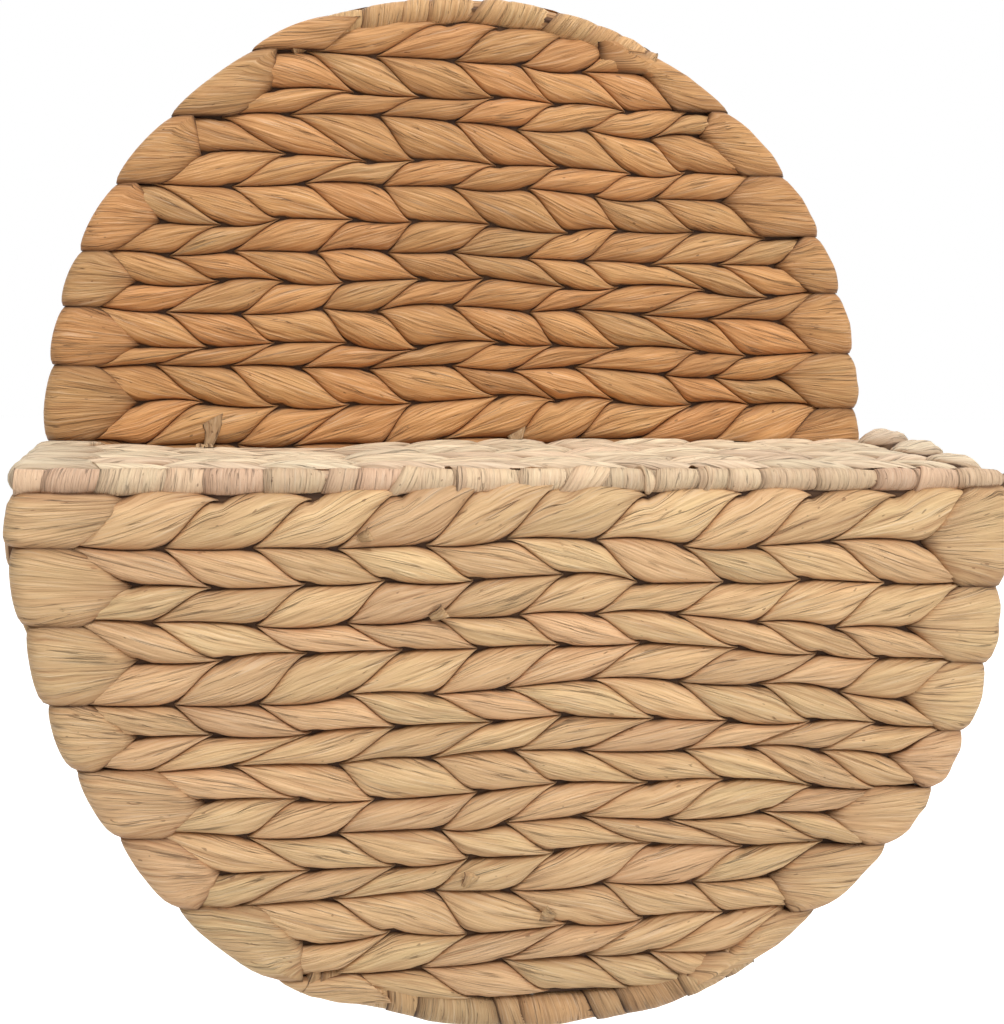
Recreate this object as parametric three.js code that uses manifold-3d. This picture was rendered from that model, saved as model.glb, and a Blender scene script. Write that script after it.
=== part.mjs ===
// Lidded wall basket: dried leaf twined on a welded wire frame, with a stadium-shaped back panel,
// a half-round pocket on its lower half and a flat lid that lifts on leaf ties.
// Millimetres, +Z up. The wall is the plane y = 0, the front faces -Y, and the lid lies at z = 0.

import * as THREE from 'three';
import Module from 'manifold-3d';

const wasm = await Module();
wasm.setup();

// Overall sizes
const basketWidth = 400;
const straightSide = 15;
const panelSpacing = 120;
const panelThickness = 14;
const lidThickness = 13;
const sideThickness = 13;
const sideBulge = 2;

// Wire frame
const wireDiameter = 3;
const wireInset = 5;
const wireSides = 6;
const hoopSteps = 32;
const sideWireCount = 17;

// Clearances
const clearance = 0.3;
const lidBackGap = 1.2;
const eyeClearance = 0.4;
const tieClearance = 0.3;

// Leaf courses, each two rows of stitches
const stitchPitch = 36;
const stitchLean = 30;
const stitchRelief = 3.2;
const backCourses = 13;
const frontCourses = 7;
const frontFirstRow = 20;
const lidCourses = 3;
const sideCourses = 3;
const edgeRound = 4;
const edgeBand = 7;
const bandDrop = 0.8;

// Leaf wound round bare wire
const wrapDiameter = 13;
const wrapHalfAngle = THREE.MathUtils.degToRad(24);
const rimWrapDiameter = 10;
const wrapTurn = 26;
const wrapLap = 0.9;
const wrapSides = 7;
const wrapStepsPerTurn = 2;

// Leaf ties of the lid, placed in bays between the back panel's stakes
const tieBays = [-3.5, 0.5, 3.5];
const tieWidth = 8;
const tieEyeWall = 2.2;
const tieStrapThickness = 2.6;
const tieKnotHeight = 9;
const eyeSegments = 12;

// Colours
const backLeaf = 0xc8975c;
const frontLeaf = 0xd9bc8e;
const lidLeaf = 0xe8d2ae;
const wrapLeaf = 0xdcc096;
const tieLeaf = 0xcfa878;
const wireSteel = 0x6f6a62;

// Values that follow from the sizes above
const outerRadius = basketWidth / 2;
const wireRadius = wireDiameter / 2;
const hoopRadius = outerRadius - wireInset;
const halfPanel = panelThickness / 2;
const halfLid = lidThickness / 2;
const slotThickness = wireDiameter + 2 * clearance;
const slotWall = wireInset - wireRadius - clearance;
const backMidY = -halfPanel;
const frontMidY = backMidY - panelSpacing;
const hingeY = -panelThickness - lidBackGap - halfLid;
const rimRadius = rimWrapDiameter / 2;
const lidFrontY = frontMidY + rimRadius + clearance;
const courseTop = straightSide + outerRadius - wrapDiameter;
const stitchShift = (stitchPitch + stitchLean) / 2;
const stakeReach = Math.floor((hoopRadius - wireDiameter) / stitchPitch);

// Half width of the stadium outline, drawn in by an inset, at a height above the lid's plane
function halfWidthAt(height, inset = 0) {
  const radius = outerRadius - inset;
  const rise = Math.max(0, Math.abs(height) - straightSide);
  return Math.sqrt(Math.max(0, radius * radius - rise * rise));
}

// Points and triangles of one closed surface, in which equal points are one vertex
class Skin {
  constructor() {
    this.points = [];
    this.triangles = [];
    this.known = new Map();
  }

  point(x, y, z) {
    const key = [x, y, z].map((value) => Math.round(value * 1000)).join(' ');
    if (!this.known.has(key)) {
      this.known.set(key, this.points.length);
      this.points.push(new THREE.Vector3(x, y, z));
    }
    return this.known.get(key);
  }

  triangle(a, b, c) {
    if (a !== b && b !== c && c !== a) {
      this.triangles.push(a, b, c);
    }
  }

  quad(a, b, c, d) {
    this.triangle(a, b, c);
    this.triangle(a, c, d);
  }

  // The surface as a solid, after an optional bend of every point
  solid(bend = null) {
    const moved = bend ? this.points.map(bend) : this.points;
    const vertProperties = new Float32Array(moved.flatMap((point) => point.toArray()));
    const triVerts = new Uint32Array(this.triangles);
    return new wasm.Manifold(new wasm.Mesh({ numProp: 3, vertProperties, triVerts }));
  }
}

// A solid from a closed three.js geometry
function solidFromGeometry(geometry) {
  const skin = new Skin();
  const source = geometry.index ? geometry.toNonIndexed() : geometry;
  const position = source.getAttribute('position');
  for (let i = 0; i < position.count; i += 3) {
    const corners = [0, 1, 2].map((step) => {
      const point = new THREE.Vector3().fromBufferAttribute(position, i + step);
      return skin.point(point.x, point.y, point.z);
    });
    skin.triangle(...corners);
  }
  return skin.solid();
}

// A three.js geometry from a solid
function geometryFromSolid(solid) {
  const mesh = solid.getMesh();
  const geometry = new THREE.BufferGeometry();
  geometry.setAttribute('position', new THREE.BufferAttribute(new Float32Array(mesh.vertProperties), 3));
  geometry.setIndex(new THREE.BufferAttribute(new Uint32Array(mesh.triVerts), 1));
  geometry.computeVertexNormals();
  return geometry;
}

// A closed solid through rings of points, each ring counter-clockwise as seen from the path's end
function loft(rings, closed = false) {
  const skin = new Skin();
  const ids = rings.map((ring) => ring.map((point) => skin.point(point.x, point.y, point.z)));
  const sides = ids[0].length;
  const spans = closed ? ids.length : ids.length - 1;
  for (let i = 0; i < spans; i += 1) {
    const near = ids[i];
    const far = ids[(i + 1) % ids.length];
    for (let j = 0; j < sides; j += 1) {
      const next = (j + 1) % sides;
      skin.quad(near[j], near[next], far[next], far[j]);
    }
  }
  if (!closed) {
    const first = ids[0];
    const last = ids[ids.length - 1];
    for (let j = 1; j < sides - 1; j += 1) {
      skin.triangle(first[0], first[j + 1], first[j]);
      skin.triangle(last[0], last[j], last[j + 1]);
    }
  }
  return skin.solid();
}

// A ring of points round a place on a path that lies in the XY plane
function ringAt(place, direction, sides, radiusAt) {
  const across = new THREE.Vector3(direction.y, -direction.x, 0).normalize();
  const up = new THREE.Vector3(0, 0, 1);
  return Array.from({ length: sides }, (unused, j) => {
    const angle = (2 * Math.PI * (j + 0.5)) / sides;
    const radius = radiusAt(j / sides);
    return place
      .clone()
      .addScaledVector(across, -radius * Math.cos(angle))
      .addScaledVector(up, radius * Math.sin(angle));
  });
}

// A straight wire between two points of the XY plane
function straightWire(from, to, radius) {
  const direction = to.clone().sub(from);
  return loft([from, to].map((place) => ringAt(place, direction, wireSides, () => radius)));
}

// Point and direction on the stadium path at an angle from the top, clockwise, in the XY plane
function arcPlace(angle, radius, sign) {
  const place = new THREE.Vector3(
    radius * Math.sin(angle),
    sign * (straightSide + radius * Math.cos(angle)),
    0,
  );
  const direction = new THREE.Vector3(Math.cos(angle), -sign * Math.sin(angle), 0);
  return { place, direction };
}

// Places along a half-round of wire, sign +1 over the top and -1 under the bottom
function arcPlaces(fromAngle, toAngle, steps, sign) {
  return Array.from({ length: steps + 1 }, (unused, i) => {
    const angle = fromAngle + ((toAngle - fromAngle) * i) / steps;
    return arcPlace(angle, hoopRadius, sign);
  });
}

// The whole stadium hoop of the back panel
function fullHoop(radius) {
  const steps = hoopSteps / 2;
  const over = arcPlaces(-Math.PI / 2, Math.PI / 2, steps, 1);
  const under = arcPlaces(-Math.PI / 2, Math.PI / 2, steps, -1)
    .reverse()
    .map(({ place, direction }) => ({ place, direction: direction.negate() }));
  const rings = [...over, ...under].map(({ place, direction }) =>
    ringAt(place, direction, wireSides, () => radius));
  return loft(rings, true);
}

// The lower half hoop of the pocket, up to the lid's plane, and the rim wire that closes it
function pocketHoop(radius) {
  const steps = hoopSteps / 2;
  const under = arcPlaces(-Math.PI / 2, Math.PI / 2, steps, -1);
  const leftTop = new THREE.Vector3(-hoopRadius, radius, 0);
  const rightTop = new THREE.Vector3(hoopRadius, radius, 0);
  const down = new THREE.Vector3(0, -1, 0);
  const up = new THREE.Vector3(0, 1, 0);
  const places = [
    { place: leftTop, direction: down },
    ...under,
    { place: rightTop, direction: up },
  ];
  const bow = loft(places.map(({ place, direction }) =>
    ringAt(place, direction, wireSides, () => radius)));
  const rimFrom = new THREE.Vector3(-hoopRadius - radius, 0, 0);
  const rimTo = new THREE.Vector3(hoopRadius + radius, 0, 0);
  return bow.add(straightWire(rimFrom, rimTo, radius));
}

// Upright stakes between a top and a bottom height
function stakes(topAt, bottomAt, radius) {
  let solid = null;
  for (let k = -stakeReach; k <= stakeReach; k += 1) {
    const x = k * stitchPitch;
    const wire = straightWire(
      new THREE.Vector3(x, bottomAt(x), 0),
      new THREE.Vector3(x, topAt(x), 0),
      radius,
    );
    solid = solid ? solid.add(wire) : wire;
  }
  return solid;
}

// Height of the hoop's centre line over a place across the panel
function hoopHeight(x) {
  return straightSide + Math.sqrt(hoopRadius * hoopRadius - x * x);
}

function backFrameSolid(radius) {
  return fullHoop(radius).add(stakes(hoopHeight, (x) => -hoopHeight(x), radius));
}

// Length along the side band's middle surface, from the pocket's bottom to its top edge
const sideTop = -halfLid - clearance;
const sideArc = (Math.PI / 2) * hoopRadius;
const sideReach = sideArc + straightSide + sideTop;

// Point of the side band: along its run, forward of the back panel's middle, out of its middle surface
function sidePoint(along, forward, out) {
  const radius = hoopRadius + out;
  if (Math.abs(along) > sideArc) {
    const sign = Math.sign(along);
    return new THREE.Vector3(sign * radius, backMidY - forward, -straightSide + Math.abs(along) - sideArc);
  }
  const angle = along / hoopRadius;
  return new THREE.Vector3(
    radius * Math.sin(angle),
    backMidY - forward,
    -straightSide - radius * Math.cos(angle),
  );
}

// Places of the side wires along the band's run
const sideWirePlaces = Array.from({ length: sideWireCount }, (unused, k) =>
  ((2 * k) / (sideWireCount - 1) - 1) * (sideReach - wireInset));

// Wires of the side band, from the pocket's hoop to the back hoop, in the front panel's own axes
function sideWires(radius, backEnd) {
  let solid = null;
  sideWirePlaces.forEach((along) => {
    const at = sidePoint(along, 0, 0);
    const disc = Array.from({ length: wireSides }, (unused, j) => {
      const angle = (2 * Math.PI * (j + 0.5)) / wireSides;
      return new THREE.Vector2(at.x + radius * Math.cos(angle), at.z + radius * Math.sin(angle));
    });
    const rings = [-backEnd, 0].map((height) =>
      disc.map((corner) => new THREE.Vector3(corner.x, corner.y, height)));
    const wire = loft(rings);
    solid = solid ? solid.add(wire) : wire;
  });
  return solid;
}

function pocketFrameSolid(radius) {
  return pocketHoop(radius)
    .add(stakes(() => 0, (x) => -hoopHeight(x), radius))
    .add(sideWires(radius, panelSpacing - wireRadius - clearance));
}

// Two rows of leaning stitches as one flat solid: u along the course, v across it, w out of its face.
// The stitches' left tips meet on the middle line, and their right tips lie on the two outer lines.
function courseSkin({ rows, halfWidth, half, relief = true, stations = [] }) {
  const skin = new Skin();
  const reach = Math.ceil(Math.max(...rows.map(halfWidth)) / stitchPitch) + 2;
  const valley = half - stitchRelief;
  const levels = rows.map((v, level) => {
    const outer = halfWidth(v);
    const edge = outer - edgeRound;
    const limit = edge - edgeBand;
    const lean = level === 1 ? 0 : stitchLean;
    const tips = [];
    for (let k = -reach; k <= reach; k += 1) {
      const u = THREE.MathUtils.clamp(k * stitchPitch - stitchShift + lean, -limit, limit);
      tips.push(skin.point(u, v, valley));
    }
    const kept = relief ? tips : [skin.point(-limit, v, valley), skin.point(limit, v, valley)];
    const inner = stations.filter((u) => Math.abs(u) < edge - 1);
    return {
      v,
      tips: kept,
      frontRing: [-1, 1].map((side) => [
        skin.point(side * edge, v, half - bandDrop),
        skin.point(side * outer, v, half - edgeRound),
        skin.point(side * outer, v, edgeRound - half),
        skin.point(side * edge, v, -half),
      ]),
      back: [-edge, ...inner, edge].map((u) => skin.point(u, v, -half)),
    };
  });

  // Stitches of one row, from its tips on the middle line to its tips on an outer line
  const at = (id) => skin.points[id];
  const addRow = (inner, outer, upper) => {
    for (let k = 0; k + 1 < inner.length; k += 1) {
      const [a, b, c, d] = [inner[k], inner[k + 1], outer[k + 1], outer[k]];
      if (a === b && c === d) {
        continue;
      }
      const centre = at(a).clone().add(at(b)).add(at(c)).add(at(d)).multiplyScalar(0.25);
      const ridge = [0.36, 0.7].map((share) => {
        const place = at(a).clone().lerp(at(c), share).lerp(centre, 0.3);
        return skin.point(place.x, place.y, half);
      });
      const [e, f] = ridge;
      const faces = [[a, b, e], [b, f, e], [b, c, f], [c, d, f], [d, e, f], [d, a, e]];
      faces.forEach(([p, q, r]) => (upper ? skin.triangle(p, q, r) : skin.triangle(p, r, q)));
    }
  };
  const [low, middle, high] = levels;
  if (relief) {
    addRow(middle.tips, high.tips, true);
    addRow(middle.tips, low.tips, false);
  } else {
    skin.quad(low.tips[0], low.tips[1], middle.tips[1], middle.tips[0]);
    skin.quad(middle.tips[0], middle.tips[1], high.tips[1], high.tips[0]);
  }

  // Edge bands, rounded ends and the plain back, between neighbouring levels
  [[low, middle], [middle, high]].forEach(([a, b]) => {
    const last = a.tips.length - 1;
    const lastB = b.tips.length - 1;
    const [leftA, rightA] = a.frontRing;
    const [leftB, rightB] = b.frontRing;
    skin.quad(leftA[0], a.tips[0], b.tips[0], leftB[0]);
    skin.quad(a.tips[last], rightA[0], rightB[0], b.tips[lastB]);
    for (let i = 0; i < 3; i += 1) {
      skin.quad(leftA[i], leftB[i], leftB[i + 1], leftA[i + 1]);
      skin.quad(rightA[i], rightA[i + 1], rightB[i + 1], rightB[i]);
    }
    for (let i = 0; i + 1 < a.back.length; i += 1) {
      skin.quad(a.back[i], b.back[i], b.back[i + 1], a.back[i + 1]);
    }
  });

  // Flat long faces, zipped between the face's edge and the back's edge
  [[low, false], [high, true]].forEach(([level, flip]) => {
    const [left, right] = level.frontRing;
    const front = [left[1], left[0], ...level.tips, right[0], right[1]];
    const back = [left[2], ...level.back, right[2]];
    let i = 0;
    let j = 0;
    while (i + 1 < front.length || j + 1 < back.length) {
      const frontNext = i + 1 < front.length ? at(front[i + 1]).x : Infinity;
      const backNext = j + 1 < back.length ? at(back[j + 1]).x : Infinity;
      const advanceFront = frontNext <= backNext;
      const face = advanceFront ? [back[j], front[i + 1], front[i]] : [back[j], back[j + 1], front[i]];
      if (flip) {
        face.reverse();
      }
      skin.triangle(...face);
      i += advanceFront ? 1 : 0;
      j += advanceFront ? 0 : 1;
    }
  });
  return skin;
}

// Room for the wires inside a panel: the stadium drawn in to the slot's wall, as thick as the slot
function panelSlot() {
  const shape = new THREE.Shape();
  const radius = outerRadius - slotWall;
  shape.absarc(0, straightSide, radius, 0, Math.PI, false);
  shape.absarc(0, -straightSide, radius, Math.PI, 2 * Math.PI, false);
  shape.closePath();
  const geometry = new THREE.ExtrudeGeometry(shape, {
    depth: slotThickness,
    bevelEnabled: false,
    curveSegments: hoopSteps / 2,
  });
  geometry.translate(0, 0, -slotThickness / 2);
  return solidFromGeometry(geometry);
}

// Room for the side wires inside the side band
function sideSlot() {
  const half = slotThickness / 2;
  const end = sideReach - slotWall;
  const rings = [-end, ...sideWirePlaces, end].map((along) => [
    sidePoint(along, 0, half),
    sidePoint(along, 0, -half),
    sidePoint(along, panelSpacing, -half),
    sidePoint(along, panelSpacing, half),
  ]);
  return loft(rings);
}

// Leaf wound round a path, as a tube whose laps climb like a screw's thread
function woundTube(placeAt, length, diameter) {
  const steps = Math.max(2, Math.round((length / wrapTurn) * wrapStepsPerTurn));
  const rings = Array.from({ length: steps + 1 }, (unused, i) => {
    const along = (length * i) / steps;
    const { place, direction } = placeAt(along);
    return ringAt(place, direction, wrapSides, (share) => {
      const lap = (along / wrapTurn + share) % 1;
      return diameter / 2 - wrapLap * lap;
    });
  });
  return loft(rings);
}

// Wound stretch of a hoop, at the top (sign +1) or the bottom (sign -1) of a panel
function hoopWrap(sign) {
  const centreRadius = outerRadius - wrapDiameter / 2;
  const placeAt = (along) => arcPlace(along / centreRadius - wrapHalfAngle, centreRadius, sign);
  return woundTube(placeAt, 2 * wrapHalfAngle * centreRadius, wrapDiameter);
}

// Room for that stretch through the whole thickness of a panel
function hoopWrapRoom(sign) {
  const near = outerRadius - wrapDiameter - clearance;
  const far = outerRadius + wrapDiameter;
  const half = wrapHalfAngle + clearance / near;
  const steps = hoopSteps / 4;
  const rings = Array.from({ length: steps + 1 }, (unused, i) => {
    const angle = -half + (2 * half * i) / steps;
    const inner = arcPlace(angle, near, sign).place;
    const outer = arcPlace(angle, far, sign).place;
    const corner = (place, height) => new THREE.Vector3(place.x, place.y, height);
    const ring = [
      corner(inner, -panelThickness),
      corner(inner, panelThickness),
      corner(outer, panelThickness),
      corner(outer, -panelThickness),
    ];
    return sign > 0 ? ring.reverse() : ring;
  });
  return loft(rings);
}

// Wound rim of the pocket's front
function rimWrap() {
  const direction = new THREE.Vector3(1, 0, 0);
  const placeAt = (along) => ({ place: new THREE.Vector3(along - outerRadius, 0, 0), direction });
  return woundTube(placeAt, basketWidth, rimWrapDiameter);
}

// Rows of a run of equal courses, from a start height upwards
function evenCourses(from, to, count) {
  const height = (to - from) / count;
  return Array.from({ length: count }, (unused, i) => {
    const low = from + i * height + (i > 0 ? clearance / 2 : 0);
    const high = from + (i + 1) * height - (i + 1 < count ? clearance / 2 : 0);
    return [low, (low + high) / 2, high];
  });
}

// Side profile of a leaf tie: an eye round the lid's rear wire, a strap and a knot behind the weave.
// Drawn with the panel's depth along x and height along y, then turned so that its width runs along X.
function tieSolid(grow = 0) {
  const eyeInner = wireRadius + eyeClearance;
  const eyeOuter = eyeInner + tieEyeWall + grow;
  const strap = tieStrapThickness / 2 + grow;
  const knot = tieKnotHeight / 2 + grow;
  const slotFront = backMidY - slotThickness / 2;
  const knotFront = slotFront + clearance - grow;
  const knotBack = backMidY + slotThickness / 2 - clearance + grow;
  const start = Math.asin(strap / eyeOuter);
  const shape = new THREE.Shape();
  shape.absarc(hingeY, 0, eyeOuter, start, 2 * Math.PI - start, false);
  shape.lineTo(knotFront, -strap);
  shape.lineTo(knotFront, -knot);
  shape.lineTo(knotBack, -knot);
  shape.lineTo(knotBack, knot);
  shape.lineTo(knotFront, knot);
  shape.lineTo(knotFront, strap);
  shape.closePath();
  if (grow === 0) {
    const eye = new THREE.Path();
    eye.absarc(hingeY, 0, eyeInner, 0, 2 * Math.PI, true);
    shape.holes.push(eye);
  }
  const depth = tieWidth + 2 * grow;
  const geometry = new THREE.ExtrudeGeometry(shape, {
    depth,
    bevelEnabled: false,
    curveSegments: eyeSegments,
  });
  geometry.translate(0, 0, -depth / 2);
  geometry.applyMatrix4(new THREE.Matrix4().makeBasis(
    new THREE.Vector3(0, 1, 0),
    new THREE.Vector3(0, 0, 1),
    new THREE.Vector3(1, 0, 0),
  ));
  return solidFromGeometry(geometry);
}

// Room for the ties, as one solid in the basket's axes
function tieRoom(grow) {
  return tieBays
    .map((bay) => tieSolid(grow).translate([bay * stitchPitch, 0, 0]))
    .reduce((sum, solid) => sum.add(solid));
}

// The lid's outline from the side: round about the rear wire and round at the front edge
function lidEnvelope() {
  const shape = new THREE.Shape();
  shape.absarc(hingeY, 0, halfLid, -Math.PI / 2, Math.PI / 2, false);
  shape.absarc(lidFrontY + halfLid, 0, halfLid, Math.PI / 2, 1.5 * Math.PI, false);
  shape.closePath();
  const geometry = new THREE.ExtrudeGeometry(shape, {
    depth: basketWidth,
    bevelEnabled: false,
    curveSegments: eyeSegments / 2,
  });
  geometry.translate(0, 0, -outerRadius);
  geometry.applyMatrix4(new THREE.Matrix4().makeBasis(
    new THREE.Vector3(0, 1, 0),
    new THREE.Vector3(0, 0, 1),
    new THREE.Vector3(1, 0, 0),
  ));
  return solidFromGeometry(geometry);
}

// The lid's wires: a rectangle whose rear wire is the hinge, and stakes from front to rear
function lidFrameSolid(radius) {
  const frontWireY = lidFrontY + wireInset;
  const corner = (x, y) => new THREE.Vector3(x, y, 0);
  const reach = hoopRadius + radius;
  let solid = straightWire(corner(-reach, hingeY), corner(reach, hingeY), radius)
    .add(straightWire(corner(-reach, frontWireY), corner(reach, frontWireY), radius));
  for (let k = -stakeReach; k <= stakeReach; k += 1) {
    const x = k * stitchPitch;
    solid = solid.add(straightWire(corner(x, frontWireY), corner(x, hingeY), radius));
  }
  [-hoopRadius, hoopRadius].forEach((x) => {
    solid = solid.add(straightWire(corner(x, frontWireY), corner(x, hingeY), radius));
  });
  return solid;
}

// Room for the lid's wires inside its courses
function lidSlot() {
  const reach = outerRadius - slotWall;
  const near = lidFrontY + slotWall;
  const far = hingeY + slotThickness / 2;
  const box = new THREE.BoxGeometry(2 * reach, far - near, slotThickness);
  box.translate(0, (far + near) / 2, 0);
  return solidFromGeometry(box);
}

// Notches in the lid's rear course, in which the ties' eyes sit round the bare wire
function lidNotches() {
  const eyeOuter = wireRadius + eyeClearance + tieEyeWall;
  const depth = eyeOuter + tieClearance;
  const width = tieWidth + 2 * tieClearance;
  return tieBays
    .map((bay) => {
      const box = new THREE.BoxGeometry(width, 2 * depth + panelThickness, 2 * lidThickness);
      box.translate(bay * stitchPitch, hingeY + panelThickness / 2, 0);
      return solidFromGeometry(box);
    })
    .reduce((sum, solid) => sum.add(solid));
}

const basket = new THREE.Group();
const backPanel = new THREE.Group();
const frontPanel = new THREE.Group();
const sideBand = new THREE.Group();
const lid = new THREE.Group();
backPanel.rotation.x = Math.PI / 2;
backPanel.position.y = backMidY;
frontPanel.rotation.x = Math.PI / 2;
frontPanel.position.y = frontMidY;
basket.add(backPanel, frontPanel, sideBand, lid);

function leaf(color) {
  return new THREE.MeshStandardMaterial({ color, roughness: 0.85, metalness: 0, flatShading: true });
}

function steel() {
  return new THREE.MeshStandardMaterial({ color: wireSteel, roughness: 0.5, metalness: 0.8 });
}

function addPiece(group, name, solid, material) {
  const mesh = new THREE.Mesh(geometryFromSolid(solid), material);
  mesh.name = name;
  group.add(mesh);
}

// Panel axes of a solid that is drawn in the basket's axes
function toPanelAxes(solid, midY) {
  return solid.translate([0, -midY, 0]).rotate([-90, 0, 0]);
}

const sideWireRoom = wireRadius + clearance;
const slot = panelSlot();

// Back panel: courses from the bottom to the top, numbered from the top
function buildBackPanel() {
  const topWrapRoom = hoopWrapRoom(1);
  const bottomWrapRoom = hoopWrapRoom(-1);
  const tiesRoom = toPanelAxes(tieRoom(tieClearance), backMidY);
  const wiresRoom = sideWires(sideWireRoom, panelSpacing).translate([0, 0, panelSpacing]);
  const rows = evenCourses(-courseTop, courseTop, backCourses);
  rows.forEach((levels, i) => {
    const relief = levels[2] > 0;
    const solid = courseSkin({ rows: levels, halfWidth: halfWidthAt, half: halfPanel, relief })
      .solid()
      .subtract(slot)
      .subtract(topWrapRoom)
      .subtract(bottomWrapRoom)
      .subtract(tiesRoom)
      .subtract(wiresRoom);
    addPiece(backPanel, `back_course_${rows.length - i}`, solid, leaf(backLeaf));
  });
  const frameRoom = backFrameSolid(wireRadius + clearance);
  addPiece(backPanel, 'back_frame', backFrameSolid(wireRadius), steel());
  addPiece(backPanel, 'back_top_wrap', hoopWrap(1).subtract(frameRoom), leaf(wrapLeaf));
  const bottomWrap = hoopWrap(-1).subtract(frameRoom).subtract(wiresRoom);
  addPiece(backPanel, 'back_bottom_wrap', bottomWrap, leaf(wrapLeaf));
}

// Front of the pocket: a taller first row under the rim, then even rows down to the bottom wrap
function frontRows() {
  const top = -rimRadius - clearance;
  const rowHeight = (courseTop + top - frontFirstRow) / (2 * frontCourses - 1);
  return Array.from({ length: frontCourses }, (unused, i) => {
    const courseHigh = i === 0 ? top : top - frontFirstRow - (2 * i - 1) * rowHeight;
    const low = i === 0 ? top - frontFirstRow - rowHeight : courseHigh - 2 * rowHeight;
    const middle = low + rowHeight;
    const lowGap = i + 1 < frontCourses ? clearance / 2 : 0;
    const highGap = i > 0 ? clearance / 2 : 0;
    return [low + lowGap, middle, courseHigh - highGap];
  });
}

function buildFrontPanel() {
  const wrapRoom = hoopWrapRoom(-1);
  const wiresRoom = sideWires(sideWireRoom, panelSpacing);
  frontRows().forEach((levels, i) => {
    const solid = courseSkin({ rows: levels, halfWidth: halfWidthAt, half: halfPanel })
      .solid()
      .subtract(slot)
      .subtract(wrapRoom)
      .subtract(wiresRoom);
    addPiece(frontPanel, `front_course_${i + 1}`, solid, leaf(frontLeaf));
  });
  const frameRoom = pocketFrameSolid(wireRadius + clearance);
  addPiece(frontPanel, 'pocket_frame', pocketFrameSolid(wireRadius), steel());
  addPiece(frontPanel, 'front_bottom_wrap', hoopWrap(-1).subtract(frameRoom), leaf(wrapLeaf));
  addPiece(frontPanel, 'rim_wrap', rimWrap().subtract(frameRoom), leaf(lidLeaf));
}

// Side band: courses that run down one side, under the bottom and up the other, numbered from the front
function buildSideBand() {
  const half = sideThickness / 2;
  const from = halfPanel + clearance;
  const to = panelSpacing - halfPanel - clearance;
  const lift = sideBulge + wireInset - half;
  const steps = 2 * Math.round(sideReach / stitchPitch);
  const stations = Array.from({ length: 2 * steps - 1 }, (unused, i) =>
    (-1 + (i + 1) / steps) * sideReach);
  const room = sideSlot();
  const rows = evenCourses(from, to, sideCourses);
  rows.forEach((levels, i) => {
    const skin = courseSkin({ rows: levels, halfWidth: () => sideReach, half, stations });
    const solid = skin.solid((point) => sidePoint(point.x, point.y, point.z + lift)).subtract(room);
    addPiece(sideBand, `side_course_${rows.length - i}`, solid, leaf(frontLeaf));
  });
}

function buildLid() {
  const envelope = lidEnvelope();
  const room = lidSlot().add(lidNotches());
  const rows = evenCourses(lidFrontY, hingeY + halfLid, lidCourses);
  rows.forEach((levels, i) => {
    const solid = courseSkin({ rows: levels, halfWidth: () => outerRadius, half: halfLid })
      .solid()
      .intersect(envelope)
      .subtract(room);
    addPiece(lid, `lid_course_${i + 1}`, solid, leaf(lidLeaf));
  });
  addPiece(lid, 'lid_frame', lidFrameSolid(wireRadius), steel());
}

function buildTies() {
  tieBays.forEach((bay, i) => {
    const mesh = new THREE.Mesh(geometryFromSolid(tieSolid()), leaf(tieLeaf));
    mesh.name = `lid_tie_${i + 1}`;
    mesh.position.x = bay * stitchPitch;
    basket.add(mesh);
  });
}

buildBackPanel();
buildFrontPanel();
buildSideBand();
buildLid();
buildTies();

export default basket;
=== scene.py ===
"""Lidded wall basket of twined dried leaf on a wire frame, dressed for its picture.

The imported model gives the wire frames, the sizes and the bodies. Each leaf course, wound wire and tie is
made here stitch by stitch and stands for the plain solid of the same name. Lengths are millimetres until a
mesh is made.
"""

import logging
import math
from dataclasses import dataclass, field
from enum import Enum, IntEnum
from typing import NamedTuple

import bpy
import numpy as np
from mathutils import Matrix, Vector


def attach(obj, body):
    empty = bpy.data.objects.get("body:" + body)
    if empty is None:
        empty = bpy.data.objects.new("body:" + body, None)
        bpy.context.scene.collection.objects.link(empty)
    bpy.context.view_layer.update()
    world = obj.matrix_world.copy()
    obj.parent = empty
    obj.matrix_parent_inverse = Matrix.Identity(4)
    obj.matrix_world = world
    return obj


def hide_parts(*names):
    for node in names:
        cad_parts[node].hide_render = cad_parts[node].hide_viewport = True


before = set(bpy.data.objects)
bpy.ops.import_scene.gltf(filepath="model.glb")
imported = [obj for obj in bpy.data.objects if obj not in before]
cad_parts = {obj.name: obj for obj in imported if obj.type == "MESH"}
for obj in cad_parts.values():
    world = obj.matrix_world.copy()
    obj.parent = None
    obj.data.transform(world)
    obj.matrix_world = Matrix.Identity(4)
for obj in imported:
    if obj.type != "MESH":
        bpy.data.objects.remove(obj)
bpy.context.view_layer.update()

log = logging.getLogger("wall_basket")
Array = np.ndarray
Random = np.random.Generator
Colour = tuple[float, float, float]
Socket = bpy.types.NodeSocket
Materials = list[bpy.types.Material]
MM = 0.001
OUTLINE_RADIUS = 200.0
ARC_CENTRE = 15.0
HOOP_RADIUS = 193.5
BACK_Y = -7.0
FRONT_Y = -127.0
LID_FRONT_Y = -121.7
LID_REAR_Y = -15.2
HINGE_Y = -21.7
LIP_SHARE = 0.04
INNER_SLOT = 1
PIT_FADE = (1.0, 0.62, 0.32, 0.12, 0.0)
LEAST_PIT_GAP = 9.0
LEAST_SEAM_RUN = 4.0


class Dent(NamedTuple):
    """Where a round outline is pressed in: angle from the top towards +X, half its width, and depth."""

    angle: float
    half_width: float
    depth: float


class RowRise(NamedTuple):
    """How far the row at one level rises towards its left end and its right end."""

    level: float
    left: float
    right: float


class Grain(NamedTuple):
    """A pattern in the leaf: how fine it is along and across, how many finer ones it has and how strong."""

    along: float
    across: float
    detail: float
    rough: float = 0.5


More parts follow.
